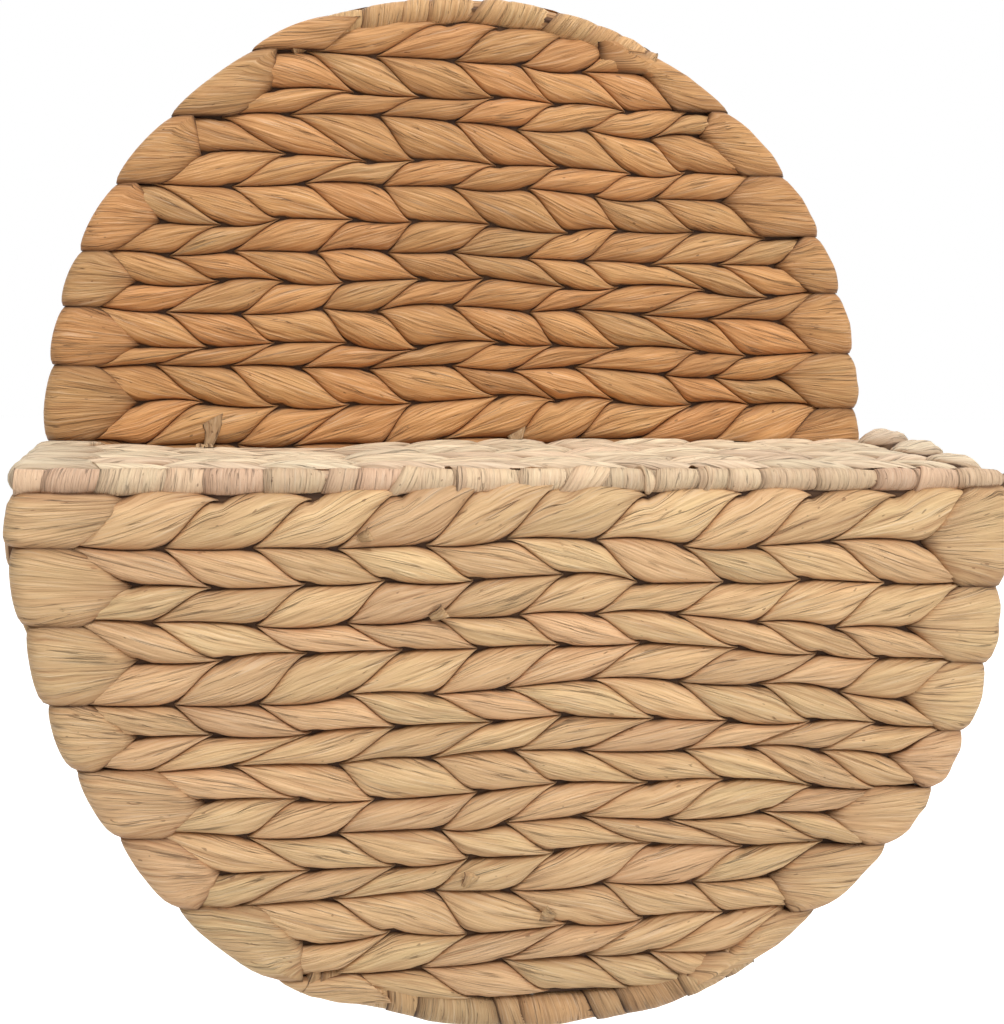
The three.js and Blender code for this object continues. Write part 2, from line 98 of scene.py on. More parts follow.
class Strand(NamedTuple):
    """A loose turn of leaf on the rod: its place along X, its width and how far it leans."""

    place: float
    width: float
    lean: float


BACK_DENTS = tuple(Dent(*row) for row in (
    (33.0, 15.0, 0.6), (-84.0, 13.0, 2.4), (78.0, 14.0, 0.6), (-50.0, 12.0, -1.2), (-26.0, 8.0, -1.8)))
FRONT_DENTS = tuple(Dent(*row) for row in (
    (97.0, 9.0, 2.6), (112.0, 8.0, 2.6), (-109.0, 9.0, 1.2), (-92.0, 6.0, -2.0), (162.0, 10.0, -2.0),
    (-162.0, 7.0, 2.4), (138.0, 12.0, 1.2), (-151.0, 7.0, -2.2), (-139.0, 9.0, -2.4), (180.0, 20.0, 1.8)))
FRONT_FAN = tuple(RowRise(*row) for row in (
    (-5.0, 0.0, 0.0), (-25.0, 2.0, 1.0), (-38.0, 1.5, -3.5), (-52.0, 0.8, -6.0), (-64.0, -0.8, -8.5),
    (-80.0, -2.5, -9.0), (-92.0, -2.0, -9.0), (-120.0, 0.0, -6.0), (-150.0, 1.5, -4.0), (-200.0, 2.0, -3.0)))
RIM_STRANDS = tuple(Strand(*row) for row in (
    (-68.0, 11.0, 16.0), (-38.0, 5.0, 5.0), (-6.0, 17.0, 22.0), (43.0, 4.5, -4.0), (61.0, 4.0, 6.0),
    (150.0, 8.0, 9.0)))


class Side(Enum):
    """Face of a woven sheet: the one that shows, or the one behind it."""

    SHOWN = 1
    BEHIND = -1


class End(IntEnum):
    """End of the rows or of a wire, as its direction along X."""

    LEFT = -1
    RIGHT = 1


class Arc(Enum):
    """Part of a hoop that is wound with leaf, as its direction along Z."""

    TOP = 1.0
    BOTTOM = -1.0


def across_leaf(count: int, power: float) -> Array:
    """Places across a strip from -1 to 1, closer near its edges. Both edges come twice, for a tucked-in lip.

    Args:
        count: how many places.
        power: how close they lie near the edges, 1 for even.

    Returns:
        The places.
    """
    v = np.linspace(-1.0, 1.0, count - 2)
    v = np.sign(v) * np.abs(v) ** power
    return np.concatenate([[-1.0], v, [1.0]])


def lipped(share: Array) -> Array:
    """Shares of a strip's width, drawn together a little to leave the lips their own part.

    Args:
        share: places as shares of the strip's width, across it on the last axis.

    Returns:
        The shares.
    """
    width = LIP_SHARE + (1.0 - 2 * LIP_SHARE) * share
    width[..., 0] = 0.0
    width[..., -1] = 1.0
    return width


def link(made: bpy.types.Object) -> bpy.types.Object:
    """Adds an object to the scene."""
    bpy.context.scene.collection.objects.link(made)
    return made


def facing(ring: Array) -> Array:
    """Direction that the middle of a closed strip faces, away from the strip's own inside.

    Args:
        ring: grid of places, along the strip by round it by 3.

    Returns:
        The direction.
    """
    i, j = ring.shape[0] // 2, ring.shape[1] // 2
    return ring[i, j] - ring[i].mean(axis=0)


class Mesher:
    """Gathers leaf strips into one object with a running map and a colour for each strip."""

    def __init__(self, name: str) -> None:
        """Starts an empty mesh.

        Args:
            name: the object's name.
        """
        self.name = name
        self.points: list[Array] = []
        self.faces: list[Array] = []
        self.run: list[Array] = []
        self.flow: list[Array] = []
        self.leaf: list[Array] = []
        self.slots: list[Array] = []
        self.count = 0

    def strip(self, points: Array, outward: Array, leaf: Array, slot: int = 0, closed: bool = False,
              run: Array | None = None, flow: Array | None = None) -> None:
        """Adds a grid of points as one strip of leaf.

        Args:
            points: grid of places, along the strip by across it by 3, in millimetres.
            outward: the direction that the middle of the strip faces.
            leaf: three numbers from 0 to 1 that set this strip's tint, lightness and fibre pattern.
            slot: number of the material.
            closed: whether the strip's run closes on itself.
            run: for each point its share of the strip's length and width, where that isn't even.
            flow: for each point its place along and across the fibres, where they don't follow the edges.
        """
        along, across = points.shape[:2]
        index = np.arange(along * across).reshape(along, across) + self.count
        if closed:
            index = np.concatenate([index, index[:1]])
        corners = [index[:-1, :-1], index[1:, :-1], index[1:, 1:], index[:-1, 1:]]
        quads = np.stack(corners, axis=-1).reshape(-1, 4)
        i, j = along // 2, across // 2
        tangent = points[min(i + 1, along - 1), j] - points[i - 1, j]
        width = points[i, min(j + 1, across - 1)] - points[i, j - 1]
        if np.dot(np.cross(tangent, width), outward) < 0:
            quads = quads[:, ::-1]
        if run is None:
            u = np.repeat(np.linspace(0, 1, along)[:, None], across, axis=1)
            v = np.repeat(np.linspace(0, 1, across)[None, :], along, axis=0)
            run = np.stack([u, v], axis=-1)
        self.points.append(points.reshape(-1, 3))
        self.faces.append(quads)
        self.run.append(run.reshape(-1, 2))
        self.flow.append((run if flow is None else flow).reshape(-1, 2))
        self.leaf.append(np.repeat(np.append(leaf, 1.0)[None, :], along * across, axis=0))
        self.slots.append(np.full(len(quads), slot))
        self.count += along * across

    def build(self, materials: Materials, body: str, slot: str,
              replaced: str | None = None) -> bpy.types.Object:
        """Makes the object, smooth shaded, in the shared frame.

        Args:
            materials: the finishes, by slot number.
            body: the body that it rides on.
            slot: the record's material slot; not used.
            replaced: name of the solid that it stands for.

        Returns:
            The new object.
        """
        points = np.concatenate(self.points) * MM
        faces = np.concatenate(self.faces)
        mesh = bpy.data.meshes.new(self.name)
        mesh.from_pydata(points.tolist(), [], faces.tolist())
        mesh.polygons.foreach_set("use_smooth", [True] * len(faces))
        mesh.polygons.foreach_set("material_index", np.concatenate(self.slots).tolist())
        corners = np.empty(len(mesh.loops), dtype=np.int32)
        mesh.loops.foreach_get("vertex_index", corners)
        for name, places in (("leaf_run", self.run), ("leaf_flow", self.flow)):
            layer = mesh.uv_layers.new(name=name)
            layer.data.foreach_set("uv", np.concatenate(places)[corners].ravel())
        tint = mesh.attributes.new("leaf_tint", "FLOAT_COLOR", "POINT")
        tint.data.foreach_set("color", np.concatenate(self.leaf).ravel())
        for material in materials:
            mesh.materials.append(material)
        piece = link(bpy.data.objects.new(self.name, mesh))
        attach(piece, body)
        if replaced:
            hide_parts(replaced)
        log.info("%s: %d points", piece.name, self.count)
        return piece


class Nodes:
    """Short ways to add and join shader nodes in one material or world."""

    def __init__(self, owner: bpy.types.Material | bpy.types.World,
                 output: str = "ShaderNodeOutputMaterial") -> None:
        """Empties the owner's node tree and gives it an output.

        Args:
            owner: the material or world.
            output: kind of its output node.
        """
        owner.use_nodes = True
        self.owner = owner
        self.tree = owner.node_tree
        self.tree.nodes.clear()
        self.output = self.tree.nodes.new(output)

    def feed(self, target: Socket, value: object) -> None:
        """Gives an input a number, a colour or another node's output.

        Args:
            target: the input.
            value: number, colour or output.
        """
        if isinstance(value, (int, float)):
            target.default_value = value
        elif isinstance(value, tuple):
            target.default_value = (*value, 1.0) if target.type == "RGBA" else value
        else:
            self.tree.links.new(value, target)

    def add(self, kind: str, inputs: dict[str, object] | None = None, **settings: object) -> bpy.types.Node:
        """Adds a node.

        Args:
            kind: the node's kind.
            inputs: numbers, colours or sockets for its inputs, by name.
            settings: its properties.

        Returns:
            The node.
        """
        node = self.tree.nodes.new(kind)
        for key, value in settings.items():
            setattr(node, key, value)
        for name, value in (inputs or {}).items():
            self.feed(node.inputs[name], value)
        return node

    def sum(self, kind: str, *values: object) -> Socket:
        """Adds a math node of one kind, with numbers or sockets for its inputs.

        Args:
            kind: the operation.
            values: numbers or sockets for its inputs.

        Returns:
            The node's result.
        """
        node = self.add("ShaderNodeMath", operation=kind)
        for socket, value in zip(node.inputs, values):
            self.feed(socket, value)
        return node.outputs[0]

    def times(self, first: object, second: object) -> Socket:
        """Multiplies two values."""
        return self.sum("MULTIPLY", first, second)

    def from_half(self, value: Socket) -> Socket:
        """How far a value lies from a half."""
        return self.sum("ABSOLUTE", self.sum("SUBTRACT", value, 0.5))

    def spread(self, value: Socket, low: float, high: float, to_low: float = 0.0,
               to_high: float = 1.0) -> Socket:
        """Maps a range of values to another, clamped."""
        inputs = {"Value": value, "From Min": low, "From Max": high, "To Min": to_low, "To Max": to_high}
        return self.add("ShaderNodeMapRange", inputs, clamp=True).outputs["Result"]

    def noise(self, place: Socket, scale: float, detail: float, rough: float = 0.5) -> Socket:
        """Adds a noise texture read at a place."""
        inputs = {"Vector": place, "Scale": scale, "Detail": detail, "Roughness": rough}
        return self.add("ShaderNodeTexNoise", inputs).outputs["Fac"]

    def blend(self, share: object, first: object, second: object) -> Socket:
        """Mixes two colours.

        Args:
            share: number or socket for the part of the second colour.
            first: colour or socket.
            second: colour or socket.

        Returns:
            The mixed colour.
        """
        node = self.add("ShaderNodeMix", data_type="RGBA", clamp_result=True)
        factor, colour_a, colour_b = node.inputs[0], node.inputs[6], node.inputs[7]
        for socket, value in ((factor, share), (colour_a, first), (colour_b, second)):
            self.feed(socket, value)
        return node.outputs[2]

    def white_rays(self) -> Socket:
        """One for the rays that see the white room: from the camera, off gloss and through clear things.

        Returns:
            The number.
        """
        paths = self.add("ShaderNodeLightPath").outputs
        seen = self.sum("MAXIMUM", paths["Is Camera Ray"], paths["Is Glossy Ray"])
        return self.sum("MAXIMUM", seen, paths["Is Transmission Ray"])

    def dress(self, colour: Socket, roughness: object, height: Socket, strength: float, depth: float,
              levels: dict[str, float] | None = None) -> bpy.types.Material:
        """Ends a material with a skin in relief.

        Args:
            colour: its colour.
            roughness: number or socket for its roughness.
            height: the relief.
            strength: the relief's strength.
            depth: the relief's depth in metres.
            levels: other numbers of the skin, by name.

        Returns:
            The material.
        """
        relief = self.add("ShaderNodeBump", {"Strength": strength, "Distance": depth, "Height": height})
        inputs = {"Base Color": colour, "Roughness": roughness, "Normal": relief.outputs["Normal"]}
        skin = self.add("ShaderNodeBsdfPrincipled", {**inputs, **(levels or {})})
        self.feed(self.output.inputs["Surface"], skin.outputs["BSDF"])
        return self.owner


@dataclass(frozen=True)
class LeafFinish:
    """Dried leaf: straw colours that change from strip to strip, fibres along the strip and fine creases."""

    name: str
    base: Colour
    warm: Colour
    cool: Colour
    dark: Colour
    fibre_depth: float = 0.5
    tip_dark: float = 0.8
    seam_dark: float = 0.9
    lines: float = 0.5
    specks: float = 0.6
    roughness: float = 0.62
    seam_width: float = 0.0
    # Colour of the pale streaks: partly the leaf's own paler fibres, partly painted sheen.
    pale: Colour = (0.95, 0.84, 0.66)
    relief_depth: float = 0.0017
    sway: float = 0.10
    sway_grain: Grain = Grain(1.4, 2.2, 2.0)
    fine_grain: Grain = Grain(2.6, 24.0, 2.0, 0.6)
    broad_grain: Grain = Grain(1.2, 8.0, 2.0)
    crack_grain: Grain = Grain(0.9, 11.0, 1.0, 0.4)
    patch_grain: Grain = Grain(1.5, 6.0, 1.0)
    speck_grain: Grain = Grain(11.0, 8.0, 1.0)
    blot_grain: Grain = Grain(2.2, 1.6, 3.0, 0.6)
    seam_grain: Grain = Grain(3.2, 1.2, 2.0)
    crack_width: float = 0.020
    patch_range: tuple[float, float] = (0.46, 0.60)
    speck_range: tuple[float, float] = (0.74, 0.775)
    light_range: tuple[float, float] = (0.86, 1.10)
    mark_dark: float = 0.6
    gloss: float = 0.30
    sheen: float = 0.04

    def make(self) -> bpy.types.Material:
        """Makes the material.

        Returns:
            The material.
        """
        nodes = Nodes(bpy.data.materials.new(self.name))
        u, v = self.map_of(nodes, "leaf_run")
        along, across = self.map_of(nodes, "leaf_flow")
        tint = nodes.add("ShaderNodeAttribute", attribute_name="leaf_tint", attribute_type="GEOMETRY")
        numbers = nodes.add("ShaderNodeSeparateColor", {"Color": tint.outputs["Color"]}).outputs
        hue, light, seed = numbers["Red"], numbers["Green"], numbers["Blue"]
        place = (along, across, seed)
        sway = nodes.sum("SUBTRACT", self.pattern(nodes, place, self.sway_grain), 0.5)
        sway = nodes.times(sway, self.sway)
        swayed = (along, nodes.sum("ADD", across, sway), seed)
        fine = self.pattern(nodes, swayed, self.fine_grain)
        broad = self.pattern(nodes, swayed, self.broad_grain)
        crack = nodes.from_half(self.pattern(nodes, swayed, self.crack_grain))
        some = nodes.spread(self.pattern(nodes, place, self.patch_grain), *self.patch_range)
        crack = nodes.times(nodes.spread(crack, 0.0, self.crack_width, 1.0, 0.0), some)
        speck = nodes.spread(self.pattern(nodes, place, self.speck_grain), *self.speck_range)
        tip = nodes.from_half(u)
        colour = self.tinted(nodes, hue, self.pattern(nodes, place, self.blot_grain), tip)
        colour = self.streaked(nodes, colour, fine, broad)
        marks = nodes.sum("MAXIMUM", nodes.times(crack, self.lines), nodes.times(speck, self.specks))
        colour = nodes.blend(marks, colour, tuple(self.mark_dark * c for c in self.dark))
        vary = nodes.spread(self.pattern(nodes, place, self.seam_grain), 0.34, 0.60, 0.35, 1.05)
        colour = self.shaded(nodes, colour, tip, nodes.from_half(v), vary)
        value = nodes.spread(light, 0.0, 1.0, *self.light_range)
        lit = nodes.add("ShaderNodeHueSaturation", {"Value": value, "Color": colour}).outputs["Color"]
        height = nodes.sum("ADD", nodes.times(fine, 0.35), nodes.times(broad, 0.75))
        height = nodes.sum("SUBTRACT", height, nodes.times(crack, 0.5))
        roughness = nodes.spread(fine, 0.3, 0.7, self.roughness + 0.1, self.roughness - 0.1)
        return nodes.dress(lit, roughness, height, 1.0, self.relief_depth,
                           {"Specular IOR Level": self.gloss, "Sheen Weight": self.sheen})

    def tinted(self, nodes: Nodes, hue: Socket, blot: Socket, tip: Socket) -> Socket:
        """The strip's own tint, blotched, and warmer and darker near its tips: the leaf's redder tips and
        painted shade.

        Args:
            nodes: the material's nodes.
            hue: the strip's own number for its tint.
            blot: a broad pattern.
            tip: distance from the middle of the strip's length.

        Returns:
            The colour.
        """
        colour = nodes.blend(nodes.spread(hue, 0.45, 1.0, 0.0, 0.85), self.base, self.warm)
        colour = nodes.blend(nodes.spread(hue, 0.0, 0.30, 0.8, 0.0), colour, self.cool)
        colour = nodes.blend(nodes.spread(blot, 0.35, 0.75, 0.0, 0.45), colour, self.warm)
        # Painted shade near the tips, where they tuck under the next stitch, together with the leaf's own
        # redder tips.
        tip_warmth_and_shade = nodes.times(nodes.spread(tip, 0.27, 0.48), 0.52 * self.tip_dark)
        return nodes.blend(tip_warmth_and_shade, colour, tuple(0.5 * (w + d) for w, d in zip(self.warm, self.dark)))

    def streaked(self, nodes: Nodes, colour: Socket, fine: Socket, broad: Socket) -> Socket:
        """Dark fibres, and pale streaks between them: partly the leaf's own paler fibres, partly painted
        sheen.

        Args:
            nodes: the material's nodes.
            colour: the leaf's colour.
            fine: the fine fibre pattern.
            broad: the broad one.

        Returns:
            The colour.
        """
        fibre = nodes.sum("ADD", nodes.times(nodes.spread(fine, 0.52, 0.30), 0.65),
                          nodes.times(nodes.spread(broad, 0.48, 0.28), 0.75))
        colour = nodes.blend(nodes.times(fibre, self.fibre_depth), colour, self.dark)
        # Pale streaks on the fine fibres: partly the leaf's own, partly painted sheen.
        return nodes.blend(nodes.times(nodes.spread(fine, 0.55, 0.72), 0.22), colour, self.pale)

    def shaded(self, nodes: Nodes, colour: Socket, tip: Socket, side: Socket, vary: Socket) -> Socket:
        """Shade along the strip's seams and in its tips.

        Args:
            nodes: the material's nodes.
            colour: the leaf's colour.
            tip: distance from the middle of the strip's length.
            side: distance from the middle of its width.
            vary: how dark the seam is from place to place.

        Returns:
            The shaded colour.
        """
        close = nodes.spread(tip, 0.415, 0.495)
        close = nodes.times(nodes.times(close, close), self.tip_dark)
        soft = nodes.spread(side, 0.29 - 2.0 * self.seam_width, 0.47 - self.seam_width)
        hard = nodes.spread(side, 0.425 - self.seam_width, 0.468 - self.seam_width)
        hard = nodes.times(nodes.times(hard, hard), nodes.times(vary, self.seam_dark))
        colour = nodes.blend(nodes.times(soft, 0.50 * self.seam_dark), colour, self.dark)
        return nodes.blend(nodes.sum("MAXIMUM", close, hard), colour, tuple(0.30 * c for c in self.dark))

    def map_of(self, nodes: Nodes, name: str) -> tuple[Socket, Socket]:
        """Reads one of the strips' maps as two numbers.

        Args:
            nodes: the material's nodes.
            name: the map's name.

        Returns:
            Its place along and across the strip.
        """
        read = nodes.add("ShaderNodeUVMap", uv_map=name)
        split = nodes.add("ShaderNodeSeparateXYZ", {"Vector": read.outputs["UV"]}).outputs
        return split["X"], split["Y"]

    def pattern(self, nodes: Nodes, place: tuple[Socket, Socket, Socket], grain: Grain) -> Socket:
        """Adds a pattern that is stretched along the strip and differs from strip to strip.

        Args:
            nodes: the material's nodes.
            place: place along and across the strip's fibres, and the strip's own number.
            grain: how fine the pattern is.

        Returns:
            The pattern, around a half.
        """
        u, v, seed = place
        joined = nodes.add("ShaderNodeCombineXYZ", {
            "X": nodes.sum("MULTIPLY_ADD", u, grain.along, nodes.times(seed, 37.0)),
            "Y": nodes.sum("MULTIPLY_ADD", v, grain.across, nodes.times(seed, 91.0)),
            "Z": nodes.times(seed, 13.0)})
        return nodes.noise(joined.outputs["Vector"], 1.0, grain.detail, grain.rough)


@dataclass(frozen=True)
class InnerLeafFinish:
    """The shaded leaf inside the weave, seen only in the small holes between stitches."""

    name: str = "inner_leaf"
    # Near black: painted shade, for the leaf deep inside the weave that shows only through the holes.
    colour: Colour = (0.048, 0.020, 0.008)
    streak: Colour = (0.115, 0.055, 0.023)
    stretch: Colour = (60.0, 60.0, 700.0)

    def make(self) -> bpy.types.Material:
        """Makes the material.

        Returns:
            The material.
        """
        nodes = Nodes(bpy.data.materials.new(self.name))
        place = nodes.add("ShaderNodeTexCoord").outputs["Object"]
        stretched = nodes.add("ShaderNodeMapping", {"Scale": self.stretch, "Vector": place})
        fibre = nodes.noise(stretched.outputs["Vector"], 1.0, 3.0)
        colour = nodes.blend(nodes.spread(fibre, 0.4, 0.7), self.colour, self.streak)
        return nodes.dress(colour, 0.8, fibre, 0.5, 0.0008)


@dataclass(frozen=True)
class WireFinish:
    """Drawn steel wire, dull, with fine lines along it and a few darker spots."""

    name: str = "drawn_wire"
    steel: Colour = (0.20, 0.19, 0.17)
    spot: Colour = (0.10, 0.075, 0.055)

    def make(self) -> bpy.types.Material:
        """Makes the material.

        Returns:
            The material.
        """
        nodes = Nodes(bpy.data.materials.new(self.name))
        place = nodes.add("ShaderNodeTexCoord").outputs["Object"]
        spots = nodes.noise(place, 160.0, 4.0, 0.6)
        grain = nodes.noise(place, 900.0, 2.0)
        colour = nodes.blend(nodes.spread(spots, 0.52, 0.68), self.steel, self.spot)
        roughness = nodes.spread(grain, 0.3, 0.7, 0.38, 0.55)
        return nodes.dress(colour, roughness, grain, 0.3, 0.0002, {"Metallic": 0.85})


def uneven_outline(along: Array, across: Array, dents: tuple[Dent, ...]) -> tuple[Array, Array]:
    """Presses a round outline in or out, as a hand-made hoop is.

    Args:
        along: places along X.
        across: places along Z.
        dents: the places where it is pressed in, or out where their depth is negative.

    Returns:
        The places, moved most at the outline and hardly in the middle.
    """
    rise = across - np.clip(across, -ARC_CENTRE, ARC_CENTRE)
    reach = np.hypot(along, rise)
    angle = np.degrees(np.arctan2(along, rise))
    depth = np.zeros_like(reach)
    for dent in dents:
        away = (angle - dent.angle + 180.0) % 360.0 - 180.0
        depth = depth + dent.depth * np.exp(-((away / dent.half_width) ** 2))
    share = 1.0 - depth / OUTLINE_RADIUS * np.clip(reach / OUTLINE_RADIUS, 0.0, 1.0) ** 3
    return along * share, across - rise + rise * share


@dataclass
class PanelGround:
    """A flat woven panel with round ends: along X, across Z, out towards -Y."""

    mid_y: float
    dents: tuple[Dent, ...] = ()
    sway: float = 1.3
    phase: float = 0.0
    radius: float = 199.0
    rise: float = 7.0
    fan: tuple[RowRise, ...] = ()
    fan_reach: float = 165.0
    fan_fade: float = 30.0
    margin: float = 4.0
    edge_height: float = 0.45
    edge_fall: float = 10.0
    sway_along: float = 43.0
    sway_across: float = 70.0

    def edge(self, across: Array) -> Array:
        """Half the panel's width at a height."""
        past = np.maximum(np.abs(across) - ARC_CENTRE, 0.0)
        return np.sqrt(np.maximum(self.radius**2 - past**2, 1.0))

    def slope(self, across: float) -> float:
        """How upright the outline stands at a height, from 0 for level to 1 for upright."""
        return float(self.edge(np.array(across)) / self.radius)

    def settle(self, along: Array, across: Array, out: Array) -> tuple[Array, Array, Array]:
        """Keeps points inside the outline and lowers them near it.

        Args:
            along: places along the rows.
            across: places across them.
            out: distances from the sheet's middle.

        Returns:
            The places and distances that were let through.
        """
        middle = np.clip(across, -ARC_CENTRE, ARC_CENTRE)
        rise = across - middle
        reach = np.hypot(along, rise)
        share = np.minimum(1.0, (self.radius - self.margin) / np.maximum(reach, 1e-6))
        inside = self.radius - reach * share - self.margin
        lower = self.edge_height + (1.0 - self.edge_height) * inside / self.edge_fall
        return along * share, middle + rise * share, out * np.clip(lower, self.edge_height, 1.0)

    def place(self, along: Array, across: Array, out: Array) -> Array:
        """Places points in the shared frame.

        Args:
            along: places along the rows.
            across: places across them.
            out: distances from the sheet's middle.

        Returns:
            The places, in millimetres in the shared frame.
        """
        across = self.fanned(along, across)
        along, across = uneven_outline(along, across, self.dents)
        across = across + self.sway * np.sin(along / self.sway_along + across / self.sway_across + self.phase)
        return np.stack(np.broadcast_arrays(along, self.mid_y - out, across), axis=-1)

    def fanned(self, along: Array, across: Array) -> Array:
        """Lets the rows rise or sag towards their ends, and leaves the outline where it is.

        Args:
            along: places along X.
            across: places along Z.

        Returns:
            The new places along Z.
        """
        if not self.fan:
            return across
        level, left, right = (np.array(column) for column in zip(*sorted(self.fan)))
        reach = np.clip(np.abs(along) / self.fan_reach, 0.0, 1.15) ** 1.7
        past = np.maximum(np.abs(across) - ARC_CENTRE, 0.0)
        room = np.clip((self.radius - np.hypot(along, past)) / self.fan_fade, 0.0, 1.0)
        upright = np.clip(self.edge(across) / self.radius, 0.0, 1.0) ** 2
        keep = room + (1.0 - room) * upright
        lift = np.where(along < 0, np.interp(across, level, left), np.interp(across, level, right))
        return across + lift * reach * keep


@dataclass
class BandGround:
    """The pocket's curved side: along the outline from left to right, across Y, out from the middle."""

    radius: float = 195.5
    straight: float = 8.2
    rise: float = 7.0
    front_y: float = -120.0
    rear_y: float = -14.0
    margin: float = 4.0
    tuck: float = 1.8

    def edge(self, across: Array) -> Array:
        """Half the band's length."""
        return np.full_like(np.asarray(across, dtype=float), self.radius * math.pi / 2 + self.straight)

    def slope(self, across: float) -> float:
        """The band's ends stand square."""
        return 1.0

    def settle(self, along: Array, across: Array, out: Array) -> tuple[Array, Array, Array]:
        """Keeps points inside the band's length."""
        most = float(self.edge(np.array(0.0))) - self.margin
        return np.clip(along, -most, most), across, out

    def place(self, along: Array, across: Array, out: Array) -> Array:
        """Places points in the shared frame, between the back panel's outline and the front one's.

        Args:
            along: places along the rows.
            across: places across them.
            out: distances from the sheet's middle.

        Returns:
            The places, in millimetres in the shared frame.
        """
        along, across, out = np.broadcast_arrays(along, across, out)
        half = self.radius * math.pi / 2
        turn = np.clip(along, -half, half) / self.radius
        past = np.maximum(np.abs(along) - half, 0.0)
        reach = self.radius + out
        x, z = reach * np.sin(turn), -ARC_CENTRE - reach * np.cos(turn) + past
        front_x, front_z = uneven_outline(x, z, FRONT_DENTS)
        rear_x, rear_z = uneven_outline(x, z, BACK_DENTS)
        share = np.clip((self.rear_y - across) / (self.rear_y - self.front_y), 0.0, 1.0)
        tucked = 1.0 - self.tuck / self.radius * share**4
        x, z = rear_x + (front_x - rear_x) * share, rear_z + (front_z - rear_z) * share
        return np.stack([x * tucked, across, np.minimum(z, (z + ARC_CENTRE) * tucked - ARC_CENTRE)], axis=-1)


@dataclass
class LidGround:
    """The flat lid: along X, across Y, out towards +Z."""

    half_width: float = 199.0
    front: float = LID_FRONT_Y
    rear: float = LID_REAR_Y
    rise: float = 6.5
    margin: float = 4.0
    right_front: float = 0.965
    right_rear: float = 1.045
    right_part: float = 150.0
    end_lift: float = 5.0
    lift_from: float = 190.0
    lift_length: float = 14.0
    cover: float = 1.7
    hem: float = 0.3
    twist_along: tuple[float, ...] = (-200.0, -146.0, -105.0, -74.0, -38.0, 0.0, 63.0, 195.0)
    twist: tuple[float, ...] = (-1.8, -2.7, -4.0, -3.8, -0.6, 0.3, 0.4, 0.8)

    def edge(self, across: Array) -> Array:
        """Half the lid's width."""
        return np.full_like(np.asarray(across, dtype=float), self.half_width)

    def slope(self, across: float) -> float:
        """The lid's ends stand square."""
        return 1.0

    def rolled(self, across: Array, out: Array) -> Array:
        """Rounds the long edges.

        Args:
            across: places across the rows.
            out: distances from the sheet's middle.

        Returns:
            The lowered distances.
        """
        inside = np.minimum(across - self.front, self.rear - across)
        near = np.clip(inside / self.rise, 0.0, 1.0)
        return out * np.sqrt(1.0 - (1.0 - near) ** 2)

    def settle(self, along: Array, across: Array, out: Array) -> tuple[Array, Array, Array]:
        """Keeps points inside the lid and rounds its long edges.

        Args:
            along: places along the rows.
            across: places across them.
            out: distances from the sheet's middle.

        Returns:
            The places and distances that were let through.
        """
        most = self.half_width - self.margin
        across = np.clip(across, self.front + self.hem, self.rear - self.hem)
        return np.clip(along, -most, most), across, self.rolled(across, out)

    def place(self, along: Array, across: Array, out: Array) -> Array:
        """Places points in the shared frame. The right end isn't quite square and its rear corner is lifted.

        Args:
            along: places along the rows.
            across: places across them.
            out: distances from the sheet's middle.

        Returns:
            The places, in millimetres in the shared frame.
        """
        share = (across - self.front) / (self.rear - self.front)
        skew = self.right_front + (self.right_rear - self.right_front) * share
        stretch = 1.0 + (skew - 1.0) * np.clip(along / self.right_part, 0.0, 1.0)
        along = np.where(along > 0, along * stretch, along)
        lift = np.interp(along, self.twist_along, self.twist) * np.clip(share, 0.0, 1.0) ** 0.8
        outer = np.clip((along - self.lift_from) / self.lift_length, 0.0, 1.0)
        lift = lift + self.end_lift * outer * np.clip(share * 3.0, 0.0, 1.0)
        out = np.where(out > self.cover, np.maximum(out + lift, self.cover), out)
        return np.stack(np.broadcast_arrays(along, across, out), axis=-1)


Ground = PanelGround | BandGround | LidGround


@dataclass(frozen=True)
class Seam:
    """The line between two stitches of a row: from a pit on the tails' line to one on the heads' line."""

    tail: float
    head: float
    bow: float = 0.0

    def climb(self, along: Array) -> Array:
        """How far the seam has crossed the row at places along it, from 0 to 1."""
        s = np.clip((along - self.tail) / max(self.head - self.tail, LEAST_SEAM_RUN), 0.0, 1.0)
        return 0.5 * s + 0.5 * s * s * (3.0 - 2.0 * s) + self.bow * np.sin(math.pi * s)


@dataclass(frozen=True)
class RowLine:
    """A line between two rows, with the pits where stitches tuck in and a swell between each two of them."""

    level: float
    pits: Array
    shifts: Array
    swells: Array

    def at(self, along: Array) -> Array:
        """The line's place across the sheet at places along it, without its swells."""
        return self.level + np.interp(along, self.pits, self.shifts)

    def hump(self, along: Array) -> Array:
        """The swell between two pits at places along the line.

        Args:
            along: places along the row.

        Returns:
            How far the line bulges there.
        """
        i = np.clip(np.searchsorted(self.pits, along) - 1, 0, len(self.pits) - 2)
        share = np.clip((along - self.pits[i]) / (self.pits[i + 1] - self.pits[i]), 0.0, 1.0)
        return self.swells[i] * np.sin(math.pi * share) ** 0.8

    def move_pits(self, end: End, wanted: dict[int, float]) -> None:
        """Moves pits to given places, all beyond them too, and the next few inward less and less.

        Args:
            end: the line's left or right end.
            wanted: for each pit's number its new place.
        """
        numbers = np.arange(len(self.pits))
        known = sorted(wanted)
        move = np.interp(numbers, known, [wanted[pit] - float(self.pits[pit]) for pit in known])
        inward = (numbers - (known[-1] if end is End.LEFT else known[0])) * -end
        self.pits[:] += move * np.interp(inward, range(len(PIT_FADE)), PIT_FADE)
        for pit in range(1, len(self.pits)):
            self.pits[pit] = max(self.pits[pit], self.pits[pit - 1] + LEAST_PIT_GAP)


